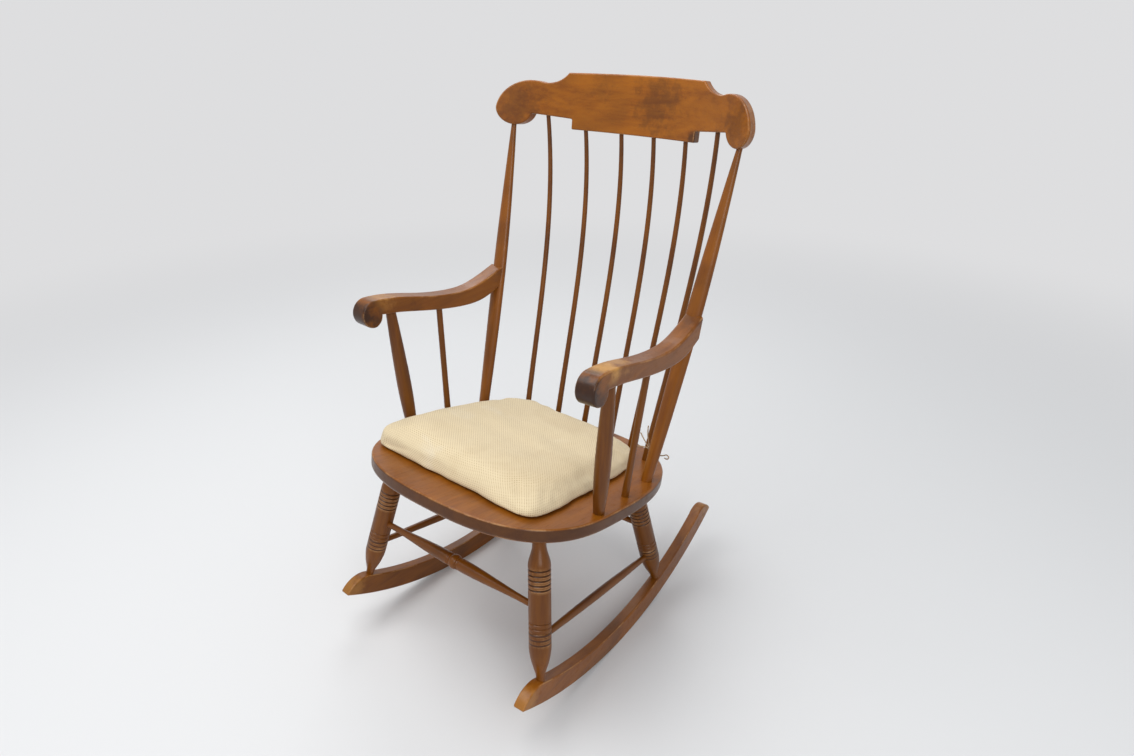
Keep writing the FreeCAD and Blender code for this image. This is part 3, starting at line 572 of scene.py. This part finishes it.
def finishWood():
    for side, label in ((1, "left"), (-1, "right")):
        finishSticks(side, label)
        material = lacqueredWood("armWood" + label.title(), sideStart(arms["start"], side),
                                 leanTurn @ Vector((side * -arms["toeOut"], 1.0, arms["rise"])), arms["look"],
                                 edge={"faces": (1, side * arms["toeOut"], 0)},
                                 soil=placedMarks(arms["soil"][side]),
                                 rubbed=placedMarks(arms["rubbed"][side]))
        finishNode("arm_" + label, material)
        # Each rocker's tone is set by side, and the sitter's right one is darker with painted shade.
        material = lacqueredWood("rockerWood" + label.title(), sideStart(rockers["start"], side),
                                 Vector((side * -rockers["toeIn"], 1.0, 0.0)),
                                 dict(rockers["look"], shade=rockers["shade"][side]),
                                 edge={"faces": (1, side * rockers["toeIn"], 0)},
                                 rubbed=placedMarks(rockers["tips"], side))
        finishNode("rocker_" + label, material)
    finishNode("seat", lacqueredWood("seatWood", placed(*seat["start"]), leanTurn @ Vector(seat["along"]),
                                     seat["look"], edge={"faces": seatNormal}))
    finishNode("crest_rail", lacqueredWood("crestWood", placed(*crest["start"]), Vector((1, 0, 0)),
                                           crest["look"], edge={"bentAbout": placed(*crest["bentAbout"])},
                                           soil=placedMarks(crest["soil"])))
    for name in ("front_stretcher", "rear_stretcher"):
        low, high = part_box(name)
        middle = (Vector(low) + Vector(high)) * 0.5
        finishNode(name, lacqueredWood(name + "Wood", middle, Vector((1, 0, 0)), crossStretchers["look"]))


finishWood()
print("wood finished")


# The cushion. x runs across it, y down the seat's slope and h off the seat.

cushion = {
    "turn": -1.9,           # degrees in the seat's plane
    "centreX": -0.0138,
    "frontY": -0.159,       # from the seat's origin, down the slope
    "backY": 0.268,
    "frontHalf": 0.222,     # half its width at the front
    "sideTaper": 0.0185,    # how much narrower each side is at the middle
    "rimSquareness": 5.0,
    "weldReach": 0.00002,
    "shrink": 0.998,
    "lift": 0.0012,         # off the seat, so that the filled shape starts clear of it
    "heightShare": 0.93,
    "slump": 0.24,          # how far the top falls towards the rim, as a share of the height
    "slumpFrom": 0.64,      # where the fall starts, as a share of the way to the rim
    "slumpMost": 1.1,
    "voxel": 0.005,
    "smoothing": 0.5,
    "rounding": 18,         # rounds of smoothing before it is filled
    "settling": 8,          # and after
    "heldHeight": 0.006,    # the underside up to here stays on the seat
    "frames": 20,
    "cap": 0.007,           # the most that the filling moves a point
    "fill": 0.55,
}

# The cloth simulation's own settings, with no gravity
filling = {
    "pressure": 4.0,
    "quality": 5,
    "mass": 0.3,
    "stretch": 12.0,
    "shear": 4.0,
    "bending": 0.3,
}

# What loose filling leaves: on top, and round the rim.
looseFilling = {
    "topHeight": 0.040,     # full effect from here up
    "topPower": 1.5,
    "swells": [             # the place across and along, the reach across and along, and the height
        (-0.125, -0.030, 0.075, 0.110, 0.0045),
        (0.115, -0.125, 0.070, 0.060, 0.0035),
        (0.090, 0.110, 0.080, 0.070, 0.0030),
        (0.015, -0.045, 0.085, 0.035, -0.0045),
        (0.050, 0.020, 0.110, 0.028, -0.0035),
        (-0.060, 0.100, 0.045, 0.060, -0.0030),
    ],
    "ripple": 0.0009,
    "rippleAcross": (47, 1.3, 31),      # waves in radians a metre, how far they bend, and the bend's waves
    "rippleAlong": (39, 1.1, 27),
    "rippleStart": 0.7,
    "fullSide": 0.006,      # how much higher it is towards the sitter's right
    "fullFrom": 0.06,
    "fullOver": 0.14,
    "halfWidth": 0.21,
    "rimFrom": 0.80,        # as a share of the way out
    "rimOver": 0.2,
    "sideOut": 0.003,
    "wander": [(0.0022, 7, 0.6), (0.0014, 13, 2.1), (0.0008, 23, 0.0)],     # depth, waves round, start
    "notch": 0.006,         # how far the front's middle draws in
    "notchX": -0.01,
    "notchWidth": 0.03,
    "notchFrom": 0.8,
    "spread": 1.012,        # how much wider it is in all
    "lowest": 0.0004,
}

cloth = {
    "weavePitch": 0.0060,   # between the dots of a row
    "mapSquareness": 6.0,
    "dropFrom": 0.044,      # the height from which the sides' drop counts
    "dropMost": 0.05,
    "sideFrom": 0.82,       # where the sides start, as a share of the way out
    "sideOver": 0.1,
    "cream": (0.720, 0.600, 0.390),
    "dot": (0.400, 0.265, 0.130),
    "worn": (0.760, 0.690, 0.550),
    "soiled": (0.560, 0.430, 0.250),
    "yarn": (0.66, 0.54, 0.36),
    "dotLength": 0.62,      # a dot's cell along its row, as a share of the cell across
    "dotEdge": (0.12, 0.26),
    "dotLeast": 0.45,       # how strongly the faintest dot shows
    "dotUneven": 0.7,
    "slowScale": 9.0,
    "soiledPatches": (0.50, 0.72),
    "soiledShare": 0.35,
    "wornPatches": (0.28, 0.40),
    "wornShare": 0.5,
    "yarnScale": 900.0,
    "yarnShare": 0.25,
    "unevenScale": 60.0,
    "roughness": 0.93,
    "specular": 0.2,
    "sheen": 0.12,
    "sheenRoughness": 0.6,
    "dotDepth": 0.7,
    "yarnHeight": 0.5,
    "bumpStrength": 0.55,
    "bumpHeight": 0.0006,
}
padHalfLength = 0.5 * (cushion["backY"] - cushion["frontY"])


def seatAxes():
    # The middle of the pad's underside, and its directions across, down the slope and off the seat.
    slope = math.radians(chair["seatSlope"])
    origin = onSeat(0.0, chair["seatOrigin"][1])
    down = leanTurn @ Vector((0, math.cos(slope), -math.sin(slope)))
    turn = Matrix.Rotation(math.radians(cushion["turn"]), 3, seatNormal)
    middle = 0.5 * (cushion["frontY"] + cushion["backY"])
    centre = origin + down * middle + Vector((cushion["centreX"], 0, 0))
    return np.array(centre), np.array(turn @ Vector((1, 0, 0))), np.array(turn @ down), np.array(seatNormal)


def meshPoints(mesh):
    points = np.empty(len(mesh.vertices) * 3, dtype=np.float32)
    mesh.vertices.foreach_get("co", points)
    return points.reshape(-1, 3).astype(np.float64)


def setPoints(mesh, points):
    mesh.vertices.foreach_set("co", np.asarray(points, dtype=np.float32).ravel())
    mesh.update()


def padPoints(piece):
    centre, across, along, up = seatAxes()
    rel = meshPoints(piece.data) - centre
    return rel @ across, rel @ along, rel @ up


def setPadPoints(piece, x, y, h):
    centre, across, along, up = seatAxes()
    setPoints(piece.data, centre + np.outer(x, across) + np.outer(y, along) + np.outer(h, up))


def shownMesh(piece):
    return bpy.data.meshes.new_from_object(piece.evaluated_get(bpy.context.evaluated_depsgraph_get()))


def applyModifier(piece, kind, **settings):
    # The piece's mesh as the modifier leaves it takes the place of its own.
    modifier = piece.modifiers.new(kind.lower(), kind)
    for name, value in settings.items():
        setattr(modifier, name, value)
    shape = shownMesh(piece)
    piece.modifiers.clear()
    old = piece.data
    piece.data = shape
    bpy.data.meshes.remove(old)


def roundedSquare(x, y, squareness):
    # 0 at the middle and 1 on a rounded square that reaches 1 on both axes.
    return (np.abs(x) ** squareness + np.abs(y) ** squareness) ** (1 / squareness)


def rimShare(x, y):
    # 0 at the pad's middle and 1 round its rim, which is narrower towards the back.
    half = cushion["frontHalf"] - cushion["sideTaper"] * (1 + y / padHalfLength)
    return roundedSquare(x / half, y / padHalfLength, cushion["rimSquareness"])


def roundedPad():
    # The frame's closed pad, a little smaller, remeshed, let down towards its rim and rounded off.
    mesh = nodes["seat_cushion"].data.copy()
    shape = bmesh.new()
    shape.from_mesh(mesh)
    bmesh.ops.remove_doubles(shape, verts=shape.verts, dist=cushion["weldReach"])
    shape.to_mesh(mesh)
    shape.free()
    mesh.materials.clear()
    piece = bpy.data.objects.new("cushionPad", mesh)
    bpy.context.scene.collection.objects.link(piece)
    x, y, h = padPoints(piece)
    setPadPoints(piece, x * cushion["shrink"], y * cushion["shrink"],
                 cushion["lift"] + h * cushion["heightShare"])
    applyModifier(piece, "REMESH", mode="VOXEL", voxel_size=cushion["voxel"])
    x, y, h = padPoints(piece)
    outward = (rimShare(x, y) - cushion["slumpFrom"]) / (1 - cushion["slumpFrom"])
    slump = 1 - cushion["slump"] * np.clip(outward, 0.0, cushion["slumpMost"]) ** 2.0
    setPadPoints(piece, x, y, h * slump)
    applyModifier(piece, "SMOOTH", factor=cushion["smoothing"], iterations=cushion["rounding"])
    return piece


def fillPad(piece):
    # Cloth pressed out from inside, with the underside held where it lies on the seat.
    start = meshPoints(piece.data)
    h = padPoints(piece)[2]
    held = piece.vertex_groups.new(name="held")
    held.add([int(index) for index in np.nonzero(h < cushion["heldHeight"])[0]], 1.0, "REPLACE")
    modifier = piece.modifiers.new("cloth", "CLOTH")
    settings = modifier.settings
    settings.quality = filling["quality"]
    settings.mass = filling["mass"]
    settings.tension_stiffness = filling["stretch"]
    settings.compression_stiffness = filling["stretch"]
    settings.shear_stiffness = filling["shear"]
    settings.bending_stiffness = filling["bending"]
    settings.vertex_group_mass = "held"
    settings.use_pressure = True
    settings.uniform_pressure_force = filling["pressure"]
    settings.effector_weights.gravity = 0.0
    modifier.point_cache.frame_start = 1
    modifier.point_cache.frame_end = cushion["frames"]
    for step in range(1, cushion["frames"] + 1):
        bpy.context.scene.frame_set(step)
    filled = shownMesh(piece)
    moved = meshPoints(filled) - start
    size = np.linalg.norm(moved, axis=1, keepdims=True)
    piece.modifiers.clear()
    bpy.context.scene.frame_set(1)
    setPoints(piece.data, start + moved * np.minimum(1.0, cushion["cap"] / np.maximum(size, 1e-9)))
    bpy.data.meshes.remove(filled)
    print("cushion filled, most moved", round(float(size.max()) * 1000, 1), "mm")


def topLift(x, y, h):
    # Low swells and shallow dents, a fine ripple and one fuller side, all fading out down the sides.
    waves, bend, bendWaves = looseFilling["rippleAcross"]
    rippleAcross = np.sin(x * waves + bend * np.sin(y * bendWaves))
    waves, bend, bendWaves = looseFilling["rippleAlong"]
    rippleAlong = np.sin(y * waves + looseFilling["rippleStart"] + bend * np.sin(x * bendWaves))
    lift = looseFilling["ripple"] * rippleAcross * rippleAlong
    for atX, atY, wide, long, height in looseFilling["swells"]:
        lift += height * np.exp(-((x - atX) / wide) ** 2 - ((y - atY) / long) ** 2)
    full = np.clip((-x - looseFilling["fullFrom"]) / looseFilling["fullOver"], 0.0, 1.0)
    lift += looseFilling["fullSide"] * full
    return lift * np.clip(h / looseFilling["topHeight"], 0.0, 1.0) ** looseFilling["topPower"]


def rimOut(x, outX, outY):
    # How far the rim stands out: fuller on one side, wandering in three waves, and drawn in at the front.
    around = np.arctan2(outY, outX)
    out = looseFilling["sideOut"] * np.clip(-outX, 0.0, 1.0)
    for depth, waves, start in looseFilling["wander"]:
        out += depth * np.sin(waves * around + start)
    inFront = np.clip((-outY - looseFilling["notchFrom"]) / looseFilling["rimOver"], 0.0, 1.0)
    middle = np.exp(-((x - looseFilling["notchX"]) / looseFilling["notchWidth"]) ** 2)
    out -= looseFilling["notch"] * middle * inFront
    reach = np.maximum(np.abs(outX), np.abs(outY))
    return out * np.clip((reach - looseFilling["rimFrom"]) / looseFilling["rimOver"], 0.0, 1.0)


def softenPad(piece):
    # The pad as loose filling leaves it, with the map that its weave follows.
    x, y, h = padPoints(piece)
    outX, outY = x / looseFilling["halfWidth"], y / padHalfLength
    length = np.maximum(np.hypot(outX, outY), 1e-6)
    out = rimOut(x, outX, outY)
    h = np.maximum(h + topLift(x, y, h), looseFilling["lowest"])
    x = looseFilling["spread"] * x + out * outX / length
    y = looseFilling["spread"] * y + out * outY / length
    setPadPoints(piece, x, y, h)
    addWeaveMap(piece.data, x, y, h)


def addWeaveMap(mesh, x, y, h):
    # The cloth's own flat coordinates: straight down on top, and down the sides by how far they drop.
    outX, outY = x / looseFilling["halfWidth"], y / padHalfLength
    far = np.maximum(np.hypot(outX, outY), 1e-6)
    reach = roundedSquare(outX, outY, cloth["mapSquareness"])
    onSide = np.clip((reach - cloth["sideFrom"]) / cloth["sideOver"], 0.0, 1.0)
    drop = np.clip(cloth["dropFrom"] - h, 0.0, cloth["dropMost"]) * onSide
    flat = np.stack([x + drop * outX / far, y + drop * outY / far, h], axis=1)
    store = mesh.attributes.new("weave", "FLOAT_VECTOR", "POINT")
    store.data.foreach_set("vector", flat.astype(np.float32).ravel())


def weaveDots(tree, weave):
    # Rows half a pitch apart, each second row moved on by half a pitch, with a dot in every cell. The
    # mask is 1 at a dot's heart.
    axes = addNode(tree, "ShaderNodeSeparateXYZ", (-1400, 0))
    join(tree, weave, axes.inputs[0])
    row = doMath(tree, "DIVIDE", axes.outputs["Y"], 0.5 * cloth["weavePitch"], (-1200, -100))
    odd = doMath(tree, "FLOOR", row, place=(-1050, -200))
    odd = doMath(tree, "MODULO", odd, 2.0, (-900, -200))
    column = doMath(tree, "DIVIDE", axes.outputs["X"], cloth["weavePitch"], (-1200, 100))
    column = doMath(tree, "MULTIPLY_ADD", odd, 0.5, (-1000, 100), third=column)
    alongCell = doMath(tree, "FRACT", row, place=(-900, -50))
    alongCell = doMath(tree, "SUBTRACT", alongCell, 0.5, (-750, -50))
    alongCell = doMath(tree, "MULTIPLY", alongCell, cloth["dotLength"], (-600, -50))
    acrossCell = doMath(tree, "FRACT", column, place=(-850, 100))
    acrossCell = doMath(tree, "SUBTRACT", acrossCell, 0.5, (-700, 100))
    cell = addNode(tree, "ShaderNodeCombineXYZ", (-450, 50))
    join(tree, acrossCell, cell.inputs[0])
    join(tree, alongCell, cell.inputs[1])
    length = vectorMath(tree, "LENGTH", cell.outputs[0], place=(-300, 50))
    return ramp(tree, length, *cloth["dotEdge"], (-150, 50), 1.0, 0.0)


def clothMaterial():
    material, tree, shader = newMaterial("creamCloth")
    weave = addNode(tree, "ShaderNodeAttribute", (-1600, 0), attribute_name="weave").outputs["Vector"]
    dots = weaveDots(tree, weave)
    slow = noise(tree, weave, cloth["slowScale"], 3.0, (-900, 500), distortion=0.4)
    yarn = noise(tree, weave, cloth["yarnScale"], 3.0, (-900, 700), roughness=0.7)
    uneven = noise(tree, weave, cloth["unevenScale"], 2.0, (-900, 900))
    soiled = ramp(tree, slow, *cloth["soiledPatches"], (-700, 500))
    soiled = doMath(tree, "MULTIPLY", soiled, cloth["soiledShare"], (-500, 500))
    colour = mixColour(tree, soiled, cloth["cream"], cloth["soiled"], (-300, 500))
    worn = ramp(tree, slow, *cloth["wornPatches"], (-700, 350), cloth["wornShare"], 0.0)
    colour = mixColour(tree, worn, colour, cloth["worn"], (-150, 450))
    strength = doMath(tree, "MULTIPLY_ADD", uneven, cloth["dotUneven"], (-300, 200), third=cloth["dotLeast"])
    strength = doMath(tree, "MULTIPLY", dots, strength, (0, 200))
    colour = mixColour(tree, strength, colour, cloth["dot"], (150, 400))
    fibre = doMath(tree, "MULTIPLY", yarn, cloth["yarnShare"], (150, 650))
    colour = mixColour(tree, fibre, colour, cloth["yarn"], (350, 450))
    join(tree, colour, shader.inputs["Base Color"])
    setInputs(shader, {"Roughness": cloth["roughness"], "Specular IOR Level": cloth["specular"],
                       "Sheen Weight": cloth["sheen"], "Sheen Roughness": cloth["sheenRoughness"]})
    # Height is 1 less the dots' depth, and more by the yarn.
    height = doMath(tree, "MULTIPLY_ADD", dots, -cloth["dotDepth"], (400, -300), third=1.0)
    height = doMath(tree, "MULTIPLY_ADD", yarn, cloth["yarnHeight"], (600, -300), third=height)
    addBump(tree, shader, height, cloth["bumpStrength"], cloth["bumpHeight"], (850, -250))
    return material


def makeCushion():
    piece = roundedPad()
    fillPad(piece)
    applyModifier(piece, "SMOOTH", factor=cushion["smoothing"], iterations=cushion["settling"])
    softenPad(piece)
    applyModifier(piece, "SUBSURF", levels=1, render_levels=1)
    piece.data.polygons.foreach_set("use_smooth", [True] * len(piece.data.polygons))
    piece.data.materials.append(clothMaterial())
    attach(piece, "root")
    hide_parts("seat_cushion")
    print("cushion made:", len(piece.data.polygons), "faces")


makeCushion()


# The cushion's tie, on the points of its CAD route

tie = {
    "radius": 0.0012,
    "route": ((0.152, 0.118, 0.365), (0.165, 0.113, 0.382), (0.188, 0.105, 0.3935), (0.208, 0.100, 0.396),
              (0.227, 0.099, 0.389), (0.238, 0.100, 0.392), (0.2455, 0.1005, 0.397), (0.251, 0.101, 0.3925),
              (0.247, 0.101, 0.3855), (0.240, 0.102, 0.386)),
    "routeLength": 0.129,
    "shortTail": ((0.2035, 0.099, 0.4005), (0.1928, 0.0975, 0.4135), (0.1842, 0.098, 0.427)),
    "shortLength": 0.033,
    "longTail": ((0.2065, 0.098, 0.402), (0.1987, 0.098, 0.425), (0.2013, 0.098, 0.448)),
    "longLength": 0.047,
    "knot": (0.2055, 0.099, 0.3985),
    "knotReach": 0.001054,  # the knot stands out up to three times this
    "knotDepth": 1.6,
    "knotPoints": 24,
    "bevelSteps": 4,
    "curveSteps": 10,
    "colour": (0.480, 0.340, 0.210),
    "shade": (0.260, 0.165, 0.090),
    "fibreScale": 1400.0,
    "fibreEdge": (0.35, 0.7),
    "slowScale": 160.0,
    "slowHeight": 0.5,
    "roughness": 0.9,
    "bumpStrength": 0.6,
    "bumpHeight": 0.0004,
}


def twineMaterial():
    material = bpy.data.materials.new("tanTwine")
    material.use_nodes = True
    tree = material.node_tree
    shader = tree.nodes["Principled BSDF"]
    coords = addNode(tree, "ShaderNodeTexCoord", (-1200, 0)).outputs["Object"]
    fibres = noise(tree, coords, tie["fibreScale"], 3.0, (-900, 200), roughness=0.7)
    slow = noise(tree, coords, tie["slowScale"], 2.0, (-900, -100))
    shade = ramp(tree, fibres, *tie["fibreEdge"], (-600, 200))
    colour = mixColour(tree, shade, tie["colour"], tie["shade"], (-300, 200))
    join(tree, colour, shader.inputs["Base Color"])
    setInputs(shader, {"Roughness": tie["roughness"]})
    height = doMath(tree, "MULTIPLY_ADD", slow, tie["slowHeight"], (-600, -200), third=fibres)
    addBump(tree, shader, height, tie["bumpStrength"], tie["bumpHeight"], (-300, -200))
    return material


def twineCurve(name, points, material, closed=False):
    curve = bpy.data.curves.new(name, "CURVE")
    curve.dimensions = "3D"
    curve.bevel_depth = tie["radius"]
    curve.bevel_resolution = tie["bevelSteps"]
    curve.resolution_u = tie["curveSteps"]
    curve.use_fill_caps = True
    spline = curve.splines.new("NURBS")
    spline.points.add(len(points) - 1)
    for index, point in enumerate(points):
        spline.points[index].co = tuple(point) + (1.0,)
    spline.order_u = 3
    spline.use_cyclic_u = closed
    spline.use_endpoint_u = not closed
    curve.materials.append(material)
    piece = bpy.data.objects.new(name, curve)
    bpy.context.scene.collection.objects.link(piece)
    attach(piece, "root")
    return piece


def knotLoop():
    # A trefoil: a three-lobed loop that passes over and under itself. Across it is the sine of the angle
    # and twice that of the doubled angle, upwards the cosine less twice the doubled one's, and in depth
    # the sine of the tripled angle.
    loop = []
    for step in range(tie["knotPoints"]):
        angle = 2 * math.pi * step / tie["knotPoints"]
        lobe = Vector((math.sin(angle) + 2 * math.sin(2 * angle), -tie["knotDepth"] * math.sin(3 * angle),
                       math.cos(angle) - 2 * math.cos(2 * angle)))
        loop.append(placed(*tie["knot"]) + tie["knotReach"] * lobe)
    return loop


def makeTie():
    material = twineMaterial()
    knot = twineCurve("tieKnot", knotLoop(), material, closed=True)
    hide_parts("tie_knot")
    for name, node, points, length in (("tieCord", "cushion_tie", "route", "routeLength"),
                                       ("tieTailShort", "tie_tail_short", "shortTail", "shortLength"),
                                       ("tieTailLong", "tie_tail_long", "longTail", "longLength")):
        line = [placed(*point) for point in tie[points]]
        piece = twineCurve(name, line, material)
        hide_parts(node)


makeTie()
print("tie made")


studio = {
    "floor": (0.72, 0.72, 0.72),
    "floorRoughness": 0.8,
    "floorHalf": 80.0,
    "far": (0.73, 0.73, 0.74),
    "fadeFrom": 1.3,        # metres from the chair
    "fadeTo": 3.6,
    "skyColour": (0.9, 0.93, 0.97, 1.0),
    "skyStrength": 0.55,
    "aim": (0.0, 0.0, 0.5),
    "panels": (             # place, width and watts
        ("overheadPanel", (-0.6, -0.9, 3.1), 2.4, 60.0),
        ("windowPanel", (2.6, -2.2, 2.2), 1.8, 42.0),
        ("backPanel", (-1.8, 1.8, 2.6), 1.6, 22.0),
    ),
}


def seenDirectly(tree, place):
    # 1 for what the camera sees straight or in a reflection or through glass, 0 for the light it gives.
    path = addNode(tree, "ShaderNodeLightPath", place)
    seen = doMath(tree, "ADD", path.outputs["Is Camera Ray"], path.outputs["Is Glossy Ray"],
                  (place[0] + 200, place[1]))
    return doMath(tree, "ADD", seen, path.outputs["Is Transmission Ray"], (place[0] + 400, place[1]),
                  clamp=True)


def mixShaders(tree, share, first, second, output):
    both = addNode(tree, "ShaderNodeMixShader", (300, 0))
    for socket, value in zip(both.inputs, (share, first, second)):
        join(tree, value, socket)
    join(tree, both.outputs["Shader"], output.inputs["Surface"])


def paleFloor():
    # Far from the chair the floor fades into the plain tone of the backdrop.
    material = bpy.data.materials.new("paleFloor")
    material.use_nodes = True
    tree = material.node_tree
    shader = tree.nodes["Principled BSDF"]
    setInputs(shader, {"Base Color": studio["floor"] + (1.0,), "Roughness": studio["floorRoughness"]})
    coords = addNode(tree, "ShaderNodeTexCoord", (-900, -300))
    reach = vectorMath(tree, "LENGTH", coords.outputs["Object"], place=(-700, -300))
    fade = ramp(tree, reach, studio["fadeFrom"], studio["fadeTo"], (-500, -300))
    share = doMath(tree, "MULTIPLY", fade, seenDirectly(tree, (-900, -600)), (-200, -300))
    glow = addNode(tree, "ShaderNodeEmission", (0, -300))
    setInputs(glow, {"Color": studio["far"] + (1.0,)})
    mixShaders(tree, share, shader.outputs["BSDF"], glow.outputs["Emission"], tree.nodes["Material Output"])
    return material


def makeFloor():
    half = studio["floorHalf"]
    mesh = bpy.data.meshes.new("floor")
    mesh.from_pydata([(-half, -half, 0), (half, -half, 0), (half, half, 0), (-half, half, 0)], [],
                     [(0, 1, 2, 3)])
    mesh.materials.append(paleFloor())
    floor = bpy.data.objects.new("floor", mesh)
    bpy.context.scene.collection.objects.link(floor)


def makeRoom():
    # A pale sky that lights the chair, seen as the plain tone of the backdrop.
    world = bpy.data.worlds.new("paleRoom")
    bpy.context.scene.world = world
    world.use_nodes = True
    tree = world.node_tree
    light = tree.nodes["Background"]
    setInputs(light, {"Color": studio["skyColour"], "Strength": studio["skyStrength"]})
    backdrop = addNode(tree, "ShaderNodeBackground", (0, -200))
    setInputs(backdrop, {"Color": studio["far"] + (1.0,)})
    mixShaders(tree, seenDirectly(tree, (-600, 200)), light.outputs["Background"],
               backdrop.outputs["Background"], tree.nodes["World Output"])


def makePanels():
    for name, place, size, power in studio["panels"]:
        data = bpy.data.lights.new(name, "AREA")
        data.size = size
        data.energy = power
        lamp = bpy.data.objects.new(name, data)
        lamp.location = place
        lamp.rotation_euler = (Vector(studio["aim"]) - Vector(place)).to_track_quat("-Z", "Y").to_euler()
        bpy.context.scene.collection.objects.link(lamp)


makeFloor()
makeRoom()
makePanels()
bpy.context.scene.view_settings.view_transform = "Standard"
print("studio lit")
